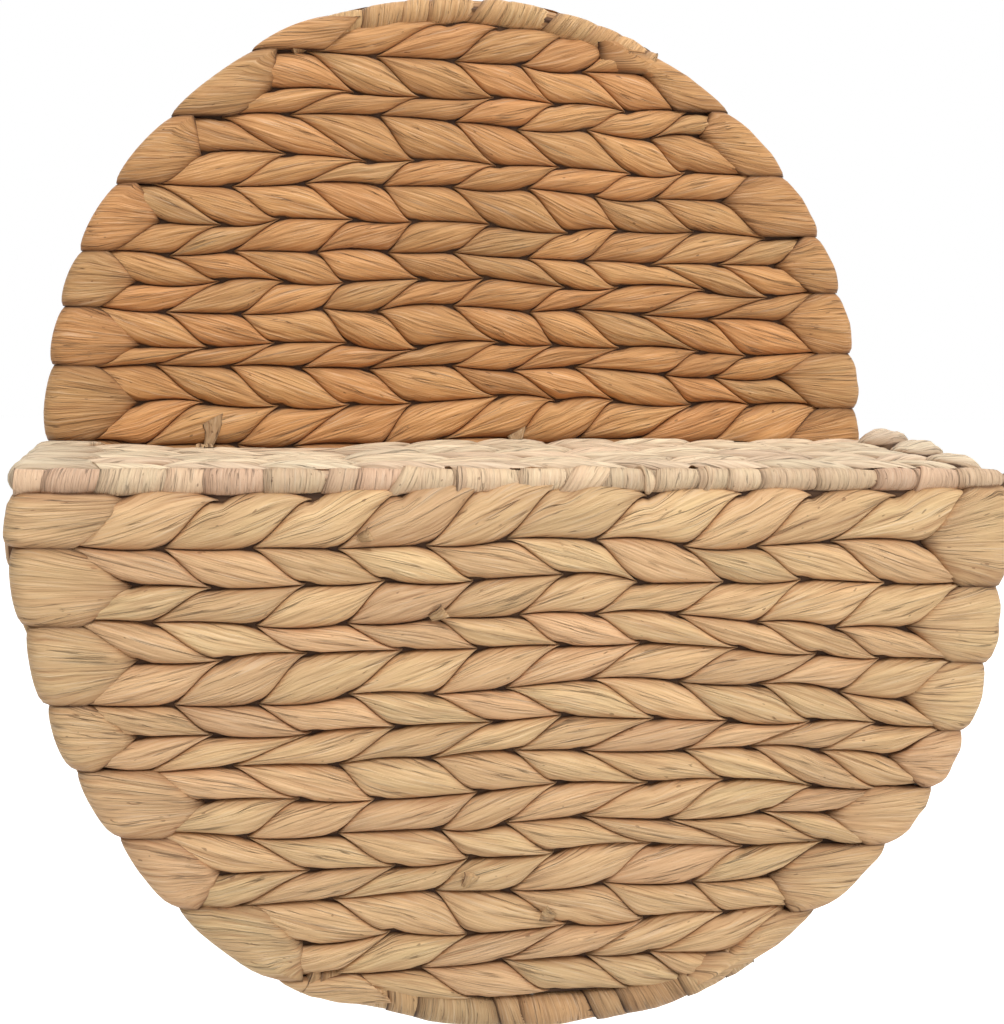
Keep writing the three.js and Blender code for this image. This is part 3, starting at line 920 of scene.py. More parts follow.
@dataclass(frozen=True)
class StitchForm:
    """One stitch: a puffed rhomboid of flattened leaf between two slanting seams, tucked in at both tips."""

    core: float = 2.2
    crown: float = 4.8
    lip: float = 0.08
    proud: float = 0.30
    gap: float = 0.10
    pit: float = 1.0
    pit_width: float = 3.0
    dive: float = 1.6
    fold: float = 0.42
    most: float = 8.2
    lip_depth: float = 1.4
    shortest: float = 13.0
    flow_length: float = 50.0
    along: int = 30
    across: int = 14

    def shape(self, seams: tuple[Seam, Seam], tails: RowLine, heads: RowLine, reach: float,
              rng: Random) -> tuple[Array, ...] | None:
        """Lays out one stitch.

        Args:
            seams: the seam on its left and the one on its right.
            tails: the line that its tail lies on.
            heads: the line that its head lies on.
            reach: how far from the sheet's middle stitches may go.
            rng: source of the stitch's own unevenness.

        Returns:
            Places along and across the row and out from the sheet, and two maps. None if there is no room.
        """
        left, right = seams
        start, end = max(left.tail, -reach), min(right.head, reach)
        if end - start < self.shortest:
            return None
        s = np.linspace(0.0, 1.0, self.along)
        t = (0.5 * s + 0.5 * (0.5 - 0.5 * np.cos(math.pi * s)))[:, None]
        v = across_leaf(self.across, 0.75)[None, :]
        along = start + (end - start) * t
        height = abs(heads.level - tails.level)
        over = left.climb(along)
        over = 4.0 * over * (1.0 - over)
        low_pit = self.pit * np.exp(-(((along - right.tail) / self.pit_width) ** 2))
        high_pit = self.pit * np.exp(-(((along - left.head) / self.pit_width) ** 2))
        lower = right.climb(along) + (self.gap + low_pit) / height
        upper = left.climb(along) - (self.gap + high_pit - 0.5 * over) / height
        half = np.maximum((upper - lower) / 2, 0.02)
        share = (lower + upper) / 2 + v * half
        across = tails.at(along) * (1.0 - share) + heads.at(along) * share
        across = across + tails.hump(along) * (1.0 - share) ** 3 + heads.hump(along) * np.abs(share) ** 3
        run = np.stack([t * np.ones_like(v), lipped((v + 1.0) / 2 * np.ones_like(along))], axis=-1)
        spread = 0.4 + 0.6 * np.clip(2 * half, 0.0, 1.0)
        flow = np.stack([t * (end - start) / self.flow_length + 0.0 * v, 0.5 + (share - t) / spread], axis=-1)
        return along + 0.0 * v, across, self.puffed(t, v, over, rng), run, flow

    def puffed(self, t: Array, v: Array, over: Array, rng: Random) -> Array:
        """How far out from the sheet's middle the stitch stands.

        Args:
            t: shares of its length.
            v: places across it, from -1 to 1.
            over: how much of it laps over the stitch before.
            rng: source of its own unevenness.

        Returns:
            The distances, with its folds, and its lips tucked in.
        """
        ends = np.sin(math.pi * t) ** 0.5
        lip = self.lip + self.proud * over * (v > 0)
        round_off = lip + (1.0 - lip) * (1.0 - np.abs(v) ** 2.4) ** 0.62
        crown = self.crown * rng.uniform(0.84, 1.08)
        out = self.core + ends * crown * round_off - self.dive * (1.0 - ends) ** 2
        for _ in range(2):
            crest = math.pi * (rng.uniform(1.2, 3.2) * v + rng.uniform(-0.8, 0.8) * t + rng.random() * 2)
            out = out + self.fold * rng.uniform(0.3, 1.0) * np.cos(crest) * ends * (1.0 - np.abs(v) ** 3)
        out = np.minimum(out, self.most)
        out[:, [0, -1]] = self.core - self.lip_depth
        return out

    def lay(self, mesh: Mesher, ground: Ground, side: Side, laid: tuple[Array, ...], leaf: Array) -> None:
        """Puts a laid-out stitch on a ground and adds it to a mesh.

        Args:
            mesh: the mesh that takes it.
            ground: the sheet.
            side: face of the sheet.
            laid: what shape gave.
            leaf: three colour numbers.
        """
        along, across, out = ground.settle(*laid[:3])
        points = ground.place(along, across, out * side.value)
        i, j = points.shape[0] // 2, points.shape[1] // 2
        above = ground.place(along[i, j], across[i, j], (out[i, j] + 1.0) * side.value)
        mesh.strip(points, above - points[i, j], leaf, run=laid[3], flow=laid[4])


@dataclass(frozen=True)
class Span:
    """The rows that an edge band covers: its two lines, its tip and where its inner edges run."""

    low: float
    high: float
    tip: float
    tip_along: float
    low_slant: float
    high_slant: float


@dataclass(frozen=True)
class EdgeForm:
    """A leaf band that wraps the outline wire: wide on the outline, with a pointed tip on both faces."""

    bulge: float = 1.6
    corner: float = 0.9
    least_room: float = 8.0
    full_range: tuple[float, float] = (0.05, 0.75)
    face_steps: int = 13
    edge_steps: int = 9
    across: int = 13
    lift: float = 0.2
    groove: float = 1.5
    rear_most: float = 9.0
    step: float = 0.0
    crease: float = 0.55
    dip_from: float = 0.70
    dip_length: float = 0.30
    dip_to: float = 2.0
    least_slope: float = 0.42
    tip_share: float = 0.03
    lip_height: float = 0.4
    lid_hem: float = 0.2
    flow_width: float = 15.0

    def stations(self, thick: float, round_depth: float) -> tuple[Array, ...]:
        """Steps round the outline, from the tip on the shown face to the tip behind.

        Args:
            thick: half the sheet's thickness there.
            round_depth: how far in from the outline the rounded edge reaches.

        Returns:
            For each step its share of the way to the tip, depth, distance out and place on the band.
        """
        rows: list[tuple[float, float, float, float]] = []
        level = thick + self.lift
        for step in range(self.face_steps):
            far = 1.0 - step / self.face_steps
            dip = max(0.0, far - self.dip_from) / self.dip_length
            rows.append((far, round_depth, level - (level - self.dip_to) * dip**2, -far))
        for step in range(self.edge_steps + 1):
            angle = 90.0 - 180.0 * step / self.edge_steps
            turn = math.radians(angle)
            rows.append((0.0, round_depth * (1.0 - math.cos(turn)), thick * math.sin(turn),
                         0.5 * (1.0 - angle / 90.0)))
        for step in range(self.face_steps):
            far = (step + 1) / self.face_steps
            dip = max(0.0, far - self.dip_from) / self.dip_length
            rows.append((far, round_depth, -(level - (level - self.dip_to) * dip**2), 1.0 + far))
        return tuple(np.array(column)[:, None] for column in zip(*rows))

    def lay(self, mesh: Mesher, ground: Ground, end: End, span: Span, leaf: Array, rng: Random) -> None:
        """Adds one band.

        Args:
            mesh: the mesh that takes it.
            ground: the sheet that it wraps.
            end: the rows' left or right end.
            span: the rows that it covers.
            leaf: the band's three colour numbers.
            rng: source of its unevenness.
        """
        v = across_leaf(self.across, 0.8)
        middle = (span.low + span.high) / 2
        base = middle + v * (span.high - span.low) / 2
        bulge = self.bulge * (1.0 - v**2) - self.corner * np.abs(v) ** 8
        rim = ground.edge(base) + bulge - self.step * np.clip(v, -0.9, 0.9)
        room = np.maximum(rim - span.tip_along, self.least_room)
        slant = span.low_slant + (span.high_slant - span.low_slant) * (v + 1.0) / 2
        full = np.clip(1.0 - slant / room, *self.full_range)
        round_depth = ground.rise / max(ground.slope(middle), self.least_slope)
        crease = self.crease * np.cos(math.pi * (rng.uniform(1.4, 2.6) * v + rng.random() * 2)) * (1 - v**2)
        far, depth, out, travel = self.stations(ground.rise + self.lift * 0.4, round_depth)
        narrow = np.clip((1.0 - far) / (1.0 - full), 0.0, 1.0)
        narrow = 0.5 * narrow + 0.5 * narrow**2 * (3.0 - 2.0 * narrow) + 0.05 * np.sin(math.pi * narrow)
        away = (base - span.tip) * (self.tip_share + (1.0 - self.tip_share) * narrow)
        along = end * (rim - depth - far * (room - round_depth))
        across = span.tip + away
        drop = (self.groove * np.abs(v) ** 5 - crease) * np.minimum(1.0, np.abs(out) / 3)
        out = np.sign(out) * np.maximum(np.abs(out) - drop, 0.0)
        out[:, [0, -1]] *= self.lip_height
        out = np.maximum(out, -self.rear_most)
        if isinstance(ground, LidGround):
            across = np.clip(across, ground.front + self.lid_hem, ground.rear - self.lid_hem)
            out = ground.rolled(across, out)
        points = ground.place(along, across, out)
        share = (travel + 1.0) / 3.0
        run = np.stack(np.broadcast_arrays(share, lipped((v + 1.0) / 2)[None, :]), axis=-1)
        fan = away / (self.flow_width * (1.0 - 0.55 * far))
        flow = np.stack(np.broadcast_arrays(share * 1.8, 0.5 + fan), axis=-1)
        i, j = self.face_steps + self.edge_steps // 2, self.across // 2
        inward = ground.place(along[i, j] - end * 5.0, across[i, j], out[i, j])
        mesh.strip(points, points[i, j] - inward, leaf, run=run, flow=flow)


@dataclass
class Weave:
    """A sheet of twined rows, made as one piece for each course of two rows."""

    name: str
    ground: Ground
    lines: list[float]
    seed: int
    stake_pitch: float = 33.5
    stakes_each_side: int = 11
    slant: float = 21.0
    unevenness: float = 2.6
    wander: float = 1.0
    swell: float = 1.2
    most_jitter: float = 6.0
    most_shift: float = 2.0
    most_swell: float = 2.2
    top_spread: tuple[float, float] = (0.75, 1.2)
    bow: tuple[float, float] = (0.04, 0.05)
    end_slant: float = 24.0
    full_band_slope: float = 0.7
    least_band: float = 0.35
    band_light: float = 0.55
    top_swell: float = 0.0
    edge_gap: float = 7.0
    band_length: tuple[float, float] = (30.0, 42.0)
    shown: StitchForm = field(default_factory=StitchForm)
    behind: StitchForm = field(default_factory=lambda: StitchForm(crown=4.4, most=6.9, along=15, across=8))
    edge_form: EdgeForm = field(default_factory=EdgeForm)
    narrow_core: float = 6.0
    core_drop: float = 0.6
    slab_reach: tuple[float, float] = (0.0, 0.0)
    slab_stations: int = 25
    slab_lines: int = 9
    slab_closing: float = 0.1
    band_raise: float = 0.0
    shade: tuple[float, float] = (1.0, 1.0)
    middle_shade: float = 0.15

    def __post_init__(self) -> None:
        """Draws the pits on every row line and finds the ones where the outer bands end."""
        rng = np.random.default_rng(self.seed)
        self.light = 1.0
        stakes = np.arange(-self.stakes_each_side, self.stakes_each_side + 1) * self.stake_pitch
        self.row_lines: list[RowLine] = []
        for number, level in enumerate(self.lines):
            offset = -self.slant / 2 if number % 2 else self.slant / 2
            jitter = self.drawn(rng, self.unevenness, self.most_jitter, len(stakes))
            shifts = self.drawn(rng, self.wander, self.most_shift, len(stakes))
            swells = self.drawn(rng, self.swell, self.most_swell, len(stakes) - 1)
            if number == 0 and self.top_swell:
                swells = self.top_swell * rng.uniform(*self.top_spread, len(stakes) - 1)
            self.row_lines.append(RowLine(level, stakes + offset + jitter, shifts, swells))
        self.bows = rng.normal(*self.bow, (len(self.lines), len(stakes)))
        self.ends = {end: {line: self.end_pit(end, line)
                           for line in range(0 if end is End.LEFT else 1, len(self.lines), 2)}
                     for end in End}
        self.match_bands()

    def drawn(self, rng: Random, usual: float, most: float, count: int) -> Array:
        """Draws uneven distances around nothing, none past the most."""
        return np.clip(rng.normal(0.0, usual, count), -most, most)

    def end_pit(self, end: End, line: int) -> int:
        """Finds the pit where the band at one end of a line has its tip, and brings it to a likely distance.

        Args:
            end: the rows' left or right end.
            line: number of the row line.

        Returns:
            The pit's number.
        """
        row_line = self.row_lines[line]
        edge = float(self.ground.edge(np.array(row_line.level)))
        share = min(max(self.ground.slope(row_line.level) / self.full_band_slope, self.least_band), 1.0)
        short, long = (share * length for length in self.band_length)
        wanted = end * (edge - (short + long) / 2)
        pit = int(np.argmin(np.abs(row_line.pits - wanted)))
        pit = min(max(pit, 1), len(row_line.pits) - 2)
        away = float(np.clip(edge - end * row_line.pits[pit], short, long))
        row_line.move_pits(end, {pit: end * (edge - away)})
        return pit

    def match_bands(self) -> None:
        """Brings the pits on the lines beside each band to where its inner edges run."""
        for end, tips in self.ends.items():
            for number, row_line in enumerate(self.row_lines):
                beside = [line for line in (number - 1, number + 1) if line in tips]
                if number in tips or not beside:
                    continue
                wanted: dict[int, list[float]] = {}
                for line in beside:
                    place = float(self.row_lines[line].pits[tips[line]]) + end * self.end_slant
                    wanted.setdefault(tips[line], []).append(place)
                row_line.move_pits(end, {pit: sum(places) / len(places) for pit, places in wanted.items()})

    def band_line(self, end: End, row: int) -> int:
        """The line on which the band at one end of a row has its tip."""
        return 2 * (row // 2) + 1 if end is End.RIGHT else 2 * ((row + 1) // 2)

    @property
    def courses(self) -> int:
        """Number of courses of two rows."""
        return (len(self.lines) - 1) // 2

    def colour(self, rng: Random) -> Array:
        """Three colour numbers for one strip of leaf, the second one its lightness."""
        return rng.random(3) * np.array([1.0, self.light, 1.0])

    def row(self, mesh: Mesher, number: int, side: Side, rng: Random) -> None:
        """Adds the stitches of one row.

        Args:
            mesh: the mesh of the row's course.
            number: the row's number, 0 for the first line's row.
            side: face of the sheet.
            rng: source of unevenness.
        """
        first, second = self.row_lines[number], self.row_lines[number + 1]
        tails, heads = (first, second) if number % 2 else (second, first)
        reach = float(self.ground.edge(np.array((first.level + second.level) / 2))) - self.edge_gap
        form = self.shown if side is Side.SHOWN else self.behind
        first_pit, last_pit = (self.ends[end][self.band_line(end, number)] for end in End)
        seams = [Seam(float(tails.pits[pit]), float(heads.pits[pit]), float(self.bows[number, pit]))
                 for pit in range(first_pit, last_pit + 1)]
        for left, right in zip(seams, seams[1:]):
            laid = form.shape((left, right), tails, heads, reach, rng)
            if laid is not None:
                form.lay(mesh, self.ground, side, self.notched(laid), self.colour(rng))

    def notched(self, laid: tuple[Array, ...]) -> tuple[Array, ...]:
        """Leaves a stitch as it is, where the sheet has no notches."""
        return laid

    def inner(self, mesh: Mesher, course: int) -> None:
        """Adds the shaded leaf inside one course, which may run past the sheet's first and last line.

        Args:
            mesh: the mesh of the course.
            course: the course's number, from 0.
        """
        first, last = self.lines[2 * course], self.lines[2 * course + 2]
        first += self.slab_reach[0] if course == 0 else 0.0
        last += self.slab_reach[1] if course == self.courses - 1 else 0.0
        across = np.linspace(first, last, self.slab_lines)
        half = np.array([float(self.ground.edge(np.array(a))) - self.narrow_core for a in across])
        self.slab(mesh, across, -half, half)

    def slab(self, mesh: Mesher, across: Array, left: Array, right: Array) -> None:
        """Adds one flat piece of shaded leaf, from left to right on each line.

        Args:
            mesh: the mesh that takes it.
            across: the lines.
            left: where it starts on each line.
            right: where it ends on each line.
        """
        stations = self.slab_stations
        share = np.linspace(0.0, 1.0, stations)[:, None]
        along = left[None, :] * (1 - share) + right[None, :] * share
        lines = np.repeat(across[None, :], stations, axis=0)
        i, j = stations // 2, len(across) // 2
        for side in Side:
            out = np.full_like(along, (self.shown.core - self.core_drop) * side.value)
            out[[0, -1]] *= self.slab_closing
            points = self.ground.place(along, lines, out)
            above = self.ground.place(along[i, j], lines[i, j], out[i, j] + side.value)
            mesh.strip(points, above - points[i, j], np.array([0.5, 0.5, 0.5]), INNER_SLOT)

    def edges(self, mesh: Mesher, course: int, rng: Random) -> None:
        """Adds the leaf bands at both ends of a course's rows.

        Args:
            mesh: the mesh of the course.
            course: the course's number, from 0.
            rng: source of its unevenness.
        """
        first, last = 2 * course, len(self.lines) - 1
        self.band(mesh, End.RIGHT, first + 1, first, first + 2, rng)
        if course == 0:
            self.band(mesh, End.LEFT, 0, 0, 1, rng)
        self.band(mesh, End.LEFT, first + 2, first + 1, min(first + 3, last), rng)

    def band(self, mesh: Mesher, end: End, tip: int, first: int, last: int, rng: Random) -> None:
        """Adds one band.

        Args:
            mesh: the mesh that takes it.
            end: the rows' left or right end.
            tip: number of the line that its tip lies on.
            first: number of the first line that it reaches.
            last: number of the last line that it reaches.
            rng: source of unevenness.
        """
        pit = self.ends[end][tip]
        tip_along = end * float(self.row_lines[tip].pits[pit])
        edges = []
        for line in (first, last):
            slant = end * float(self.row_lines[line].pits[pit]) - tip_along
            level = self.lines[line] + (self.band_raise if line == 0 else 0.0)
            edges.append((level, max(slant, 0.5)))
        (low, low_slant), (high, high_slant) = sorted(edges)
        leaf = self.colour(rng)
        leaf[1] *= self.band_light
        span = Span(low, high, self.lines[tip], tip_along, low_slant, high_slant)
        self.edge_form.lay(mesh, self.ground, end, span, leaf, rng)

    def make(self, materials: Materials, body: str, slot: str) -> None:
        """Makes one piece for each course, first course first.

        Args:
            materials: leaf finish and inner finish.
            body: the body that the pieces ride on.
            slot: the record's material slot.
        """
        # Painted shade: each course's lightness runs from the first shade to the last and is raised by
        # middle_shade in the middle, so the front panel darkens towards its bottom.
        first_shade, last_shade = self.shade
        shades = (first_shade, 0.5 * (first_shade + last_shade) + self.middle_shade, last_shade)
        for course in range(self.courses):
            rng = np.random.default_rng(self.seed * 100 + course)
            self.light = float(np.interp(course / max(self.courses - 1, 1), (0.0, 0.5, 1.0), shades))
            node = f"{self.name}_{course + 1}"
            mesh = Mesher(f"{node}_leaf")
            for number in (2 * course, 2 * course + 1):
                self.row(mesh, number, Side.SHOWN, rng)
                self.row(mesh, number, Side.BEHIND, rng)
            self.inner(mesh, course)
            self.edges(mesh, course, rng)
            mesh.build(materials, body, slot, node)


@dataclass
class LidWeave(Weave):
    """The lid's rows, with notches in the rear row for the leaf ties."""

    notches: tuple[float, ...] = ()
    notch_half: float = 4.5
    notch_front: float = -27.2
    slab_margin: float = 3.0
    oblong_lines: int = 5

    def notched(self, laid: tuple[Array, ...]) -> tuple[Array, ...]:
        """Draws a stitch of the rear row away from the ties.

        Args:
            laid: the stitch as it is laid out.

        Returns:
            The stitch with its notches.
        """
        along, across, *rest = laid
        for tie in self.notches:
            near = (np.abs(along - tie) < self.notch_half) & (across > self.notch_front)
            across = np.where(near, self.notch_front, across)
        return along, across, *rest

    def inner(self, mesh: Mesher, course: int) -> None:
        """Adds the shaded leaf inside one course, cut at the ties in the rear one.

        Args:
            mesh: the mesh of the course.
            course: the course's number, from 0.
        """
        low, high = sorted((self.lines[2 * course], self.lines[2 * course + 2]))
        low = max(low, self.ground.front + self.slab_margin)
        high = min(high, self.ground.rear - self.slab_margin)
        reach = self.ground.half_width - self.narrow_core
        self.oblong(mesh, low, min(high, self.notch_front), -reach, reach)
        if high >= self.notch_front:
            sides = [tie + end * self.notch_half for tie in self.notches for end in End]
            sides = [-reach, *sides, reach]
            for left, right in zip(sides[::2], sides[1::2]):
                self.oblong(mesh, self.notch_front, high, left, right)

    def oblong(self, mesh: Mesher, low: float, high: float, left: float, right: float) -> None:
        """Adds one oblong of shaded leaf."""
        lines = np.linspace(low, high, self.oblong_lines)
        self.slab(mesh, lines, np.full_like(lines, left), np.full_like(lines, right))


@dataclass
class WoundWire:
    """Wire wound with one long leaf, each turn lapped over the one before."""

    name: str
    seed: int
    radius: float
    length: float
    shift: float = 0.0
    turn: float = 20.0
    lean: tuple[float, float] = (0.25, 0.75)
    lap: float = 0.9
    bead: float = 0.5
    around: int = 30
    across: int = 9
    taper: tuple[float, float] = (1.0, 1.0)
    closed_end: float = 0.0
    strands: tuple[Strand, ...] = ()
    strand_height: float = 0.9
    wobble: float = 0.8
    crease: float = 0.16
    hem: float = 5.0
    tucks: tuple[float, float] = (1.0, 0.8)
    flow_width: float = 13.0
    end_closing: float = 0.82
    lining_steps: tuple[int, int] = (90, 13)
    cap_steps: tuple[int, int] = (14, 5)
    cap_depth: float = 0.8
    cap_radius: float = 0.93

    def path(self, s: Array) -> tuple[Array, Array, Array]:
        """The wire's line.

        Args:
            s: distances from the wire's middle.

        Returns:
            Places, and two directions square to the wire.
        """
        zero, one = np.zeros_like(s), np.ones_like(s)
        centre = np.stack([s + self.shift, zero + FRONT_Y, zero], axis=-1)
        return centre, np.stack([zero, -one, zero], axis=-1), np.stack([zero, zero, one], axis=-1)

    def slim(self, s: Array) -> Array:
        """Shares of the full radius along the wire, dropping to the wire's own at a closed right end.

        Args:
            s: distances from the wire's middle.

        Returns:
            The shares.
        """
        share = np.interp(s, (-self.length / 2, self.length / 2), self.taper)
        if self.closed_end:
            past = np.clip((s - self.length / 2 + self.closed_end) / self.closed_end, 0.0, 1.0)
            share = share * np.sqrt(1.0 - self.end_closing * past**2)
        return share

    def tube(self, mesh: Mesher, s: Array, angle: Array, reach: Array, leaf: Array,
             outward: Array | None = None, run: Array | None = None, flow: Array | None = None) -> None:
        """Adds a strip that lies round the wire.

        Args:
            mesh: the mesh that takes it.
            s: distances from the wire's middle.
            angle: angles round the wire.
            reach: distances from the wire's line.
            leaf: three colour numbers.
            outward: the direction that it faces, where that isn't away from the wire.
            run: the strip's first map.
            flow: the strip's second map.
        """
        centre, first, second = self.path(s)
        spoke = np.cos(angle)[..., None] * first + np.sin(angle)[..., None] * second
        points = centre + reach[..., None] * spoke
        i, j = points.shape[0] // 2, points.shape[1] // 2
        outward = points[i, j] - centre[i, j] if outward is None else outward
        mesh.strip(points, outward, leaf, run=run, flow=flow)

    def make(self, materials: Materials, body: str, slot: str) -> None:
        """Makes the wound wire as one piece.

        Args:
            materials: leaf finish and inner finish.
            body: the body that it rides on.
            slot: the record's material slot.
        """
        rng = np.random.default_rng(self.seed)
        mesh = Mesher(f"{self.name}_leaf")
        start = -self.length / 2 - self.turn
        while start < self.length / 2:
            step = self.turn * rng.uniform(0.65, 1.4)
            self.one_turn(mesh, start, step * 1.15 + self.hem, rng)
            start += step
        for strand in self.strands:
            self.one_turn(mesh, strand.place - self.shift, strand.width, rng, strand.lean)
        self.inside(mesh)
        self.caps(mesh)
        mesh.build(materials, body, slot, self.name)

    def one_turn(self, mesh: Mesher, start: float, width: float, rng: Random,
                 strand: float | None = None) -> None:
        """Adds one turn of the leaf.

        Args:
            mesh: the mesh that takes it.
            start: where it begins, from the wire's middle.
            width: the leaf's width.
            rng: source of its unevenness.
            strand: for a loose turn over the others, how far it runs along the wire.
        """
        share = np.linspace(0.0, 1.0, self.around)[:, None]
        angle = np.linspace(0.0, 2 * math.pi, self.around)[:, None] + rng.uniform(1.5, 2.5)
        v = np.concatenate([[0.0], np.linspace(0.0, 1.0, self.across - 2), [1.0]])[None, :]
        lean = self.turn * rng.uniform(*self.lean)
        lean, over = (lean, 0.0) if strand is None else (strand, self.strand_height)
        s = start + lean * share + width * v
        s = s + self.wobble * np.sin(angle * 2 + rng.random() * 6) * (v - 0.5)
        s = np.clip(s, -self.length / 2, self.length / 2)
        lift = 0.55 * self.lap * (1.0 - v) - 0.5 * self.lap * v
        seen = np.clip(v * width / max(width - self.hem, 3.0), 0.0, 1.0)
        bead = self.bead * (np.sin(math.pi * seen) ** 0.6 - 0.5)
        crease = self.crease * np.cos(2 * math.pi * (rng.uniform(1.0, 2.0) * v + rng.random()) + angle)
        reach = (self.radius - self.lap * 0.5) * self.slim(s) + over + lift + bead + crease
        reach[:, 0] -= self.tucks[0]
        reach[:, -1] -= self.tucks[1]
        run = np.stack(np.broadcast_arrays(share, lipped(v)), axis=-1)
        flow = np.stack(np.broadcast_arrays(share * 1.2, v * width / self.flow_width), axis=-1)
        self.tube(mesh, s, angle, reach, rng.random(3), run=run, flow=flow)

    def inside(self, mesh: Mesher) -> None:
        """Adds the first winding under the others, seen where they part.

        Args:
            mesh: the mesh that takes it.
        """
        along, around = self.lining_steps
        s = np.linspace(-self.length / 2, self.length / 2, along)[:, None] * np.ones((1, around))
        angle = np.linspace(0.0, 2 * math.pi, around)[None, :]
        self.tube(mesh, s, angle, self.radius * self.slim(s) - 1.1 * self.lap, np.array([0.7, 0.0, 0.4]))

    def caps(self, mesh: Mesher) -> None:
        """Closes both ends with a turned-in leaf.

        Args:
            mesh: the mesh that takes it.
        """
        around, inward = self.cap_steps
        share = np.linspace(1.0, 0.0, inward)[None, :] * np.ones((around, 1))
        angle = np.linspace(0.0, 2 * math.pi, around)[:, None]
        for end in End:
            last = np.array([end * self.length / 2])
            outward = self.path(last + end)[0] - self.path(last)[0]
            s = last[0] + end * self.cap_depth * (1.0 - share)
            reach = self.radius * self.cap_radius * self.slim(last) * share
            self.tube(mesh, s, angle, reach, np.array([0.5, 0.3, 0.2]), outward[0])


@dataclass
class WoundHoop(WoundWire):
    """The same winding on a hoop wire, over an arc at its top or bottom."""

    mid_y: float = BACK_Y
    arc: Arc = Arc.TOP
    dents: tuple[Dent, ...] = BACK_DENTS

    def path(self, s: Array) -> tuple[Array, Array, Array]:
        """The hoop's line, with s from the arc's middle.

        Args:
            s: distances from the arc's middle.

        Returns:
            Places, and two directions square to the wire.
        """
        turn = (s + self.shift) / HOOP_RADIUS
        away = np.stack([np.sin(turn), np.zeros_like(s), self.arc.value * np.cos(turn)], axis=-1)
        centre = away * HOOP_RADIUS + np.array([0.0, self.mid_y, self.arc.value * ARC_CENTRE])
        centre[..., 0], centre[..., 2] = uneven_outline(centre[..., 0], centre[..., 2], self.dents)
        return centre, np.broadcast_to([0.0, -1.0, 0.0], away.shape), away


@dataclass
class LeafTies:
    """The leaf ties that hold the lid's rear wire to the back panel."""

    places: tuple[float, ...] = (-126.0, 18.0, 126.0)
    seed: int = 700
    inner: float = 2.0
    outer: float = 4.2
    half_width: float = 3.8
    tabs: tuple[float, ...] = (15.0, 9.5)
    tab_shift: float = 2.0
    tab_foot: float = 2.0
    tab_y: float = -14.6
    tab_thick: float = 0.4
    tab_width: tuple[float, float] = (2.2, 4.6)
    unevenness: float = 0.06
    wave: float = 0.25
    strap_y: tuple[float, ...] = (-18.1, -16.2, -14.0, -12.0, -10.5, -9.0, -7.5, -6.0, -5.0)
    strap_thick: tuple[float, ...] = (1.0, 1.2, 1.3, 1.5, 3.0, 3.9, 4.0, 3.0, 0.6)
    strap_wide: tuple[float, ...] = (2.6, 3.2, 3.6, 3.6, 3.8, 3.9, 3.9, 3.2, 0.8)

    def make(self, materials: Materials) -> None:
        """Makes each tie as one piece: an eye, a strap with a knot, and a loose end on the first two.

        Args:
            materials: leaf finish and inner finish.
        """
        for i, x in enumerate(self.places):
            rng = np.random.default_rng(self.seed + i)
            mesh = Mesher(f"lid_tie_{i + 1}_leaf")
            self.eye(mesh, x, rng)
            self.strap(mesh, x, rng)
            if i < len(self.tabs):
                self.tab(mesh, x + self.tab_shift, self.tabs[i], rng)
            mesh.build(materials, "basket", "tie_leaf", f"lid_tie_{i + 1}")

    def ring(self, thick: float, wide: float, steps: int, rng: Random) -> Array:
        """A flattened section, thickness by width, slightly uneven.

        Args:
            thick: half its thickness.
            wide: half its width.
            steps: how many points.
            rng: source of its unevenness.

        Returns:
            The points round it.
        """
        angle = np.linspace(0.0, 2 * math.pi, steps)
        bump = 1.0 + self.unevenness * np.cos(3 * angle + rng.random() * 6)
        return np.stack([thick * np.cos(angle) * bump, wide * np.sin(angle) * bump], axis=-1)

    def eye(self, mesh: Mesher, x: float, rng: Random) -> None:
        """Adds the eye round the lid's rear wire, of two twisted leaves side by side.

        Args:
            mesh: the tie's mesh.
            x: the tie's place along X.
            rng: source of its unevenness.
        """
        middle, thick = (self.inner + self.outer) / 2, (self.outer - self.inner) / 2
        for part in (-1, 1):
            section = self.ring(thick, self.half_width / 2 * 1.05, 13, rng)
            rows = []
            for turn in np.linspace(0.0, 2 * math.pi, 29)[:-1]:
                away = np.array([0.0, math.cos(turn), math.sin(turn)])
                centre = np.array([x + part * self.half_width / 2, HINGE_Y, 0.0]) + middle * away
                wave = self.wave * math.sin(turn * 3 + part)
                rows.append([centre + p[0] * away + np.array([p[1] + wave, 0.0, 0.0]) for p in section])
            points = np.array(rows)
            mesh.strip(points, facing(points), rng.random(3), closed=True)

    def tab(self, mesh: Mesher, x: float, top: float, rng: Random) -> None:
        """Adds a tie's loose end, which stands up against the back panel.

        Args:
            mesh: the tie's mesh.
            x: middle of the end.
            top: its highest point.
            rng: source of its unevenness.
        """
        rows = []
        for share in np.linspace(0.0, 1.0, 8):
            narrow, wide = self.tab_width
            section = self.ring(self.tab_thick, narrow + (wide - narrow) * share, 13, rng)
            lean = 2.6 * share + 0.8 * math.sin(4.0 * share)
            y, z = self.tab_y + 0.2 * math.sin(5.0 * share), self.tab_foot + (top - self.tab_foot) * share
            rows.append([[x + lean + p[1], y + p[0], z + 0.55 * share * p[1]] for p in section])
        points = np.array(rows)
        mesh.strip(points, facing(points), rng.random(3))

    def strap(self, mesh: Mesher, x: float, rng: Random) -> None:
        """Adds the strap from the eye into the back panel and the knot on its end.

        Args:
            mesh: the tie's mesh.
            x: the tie's place along X.
            rng: source of its unevenness.
        """
        points = np.array([[[x + p[1], y, p[0]] for p in self.ring(thick, wide, 15, rng)]
                           for y, thick, wide in zip(self.strap_y, self.strap_thick, self.strap_wide)])
        mesh.strip(points, facing(points), rng.random(3))


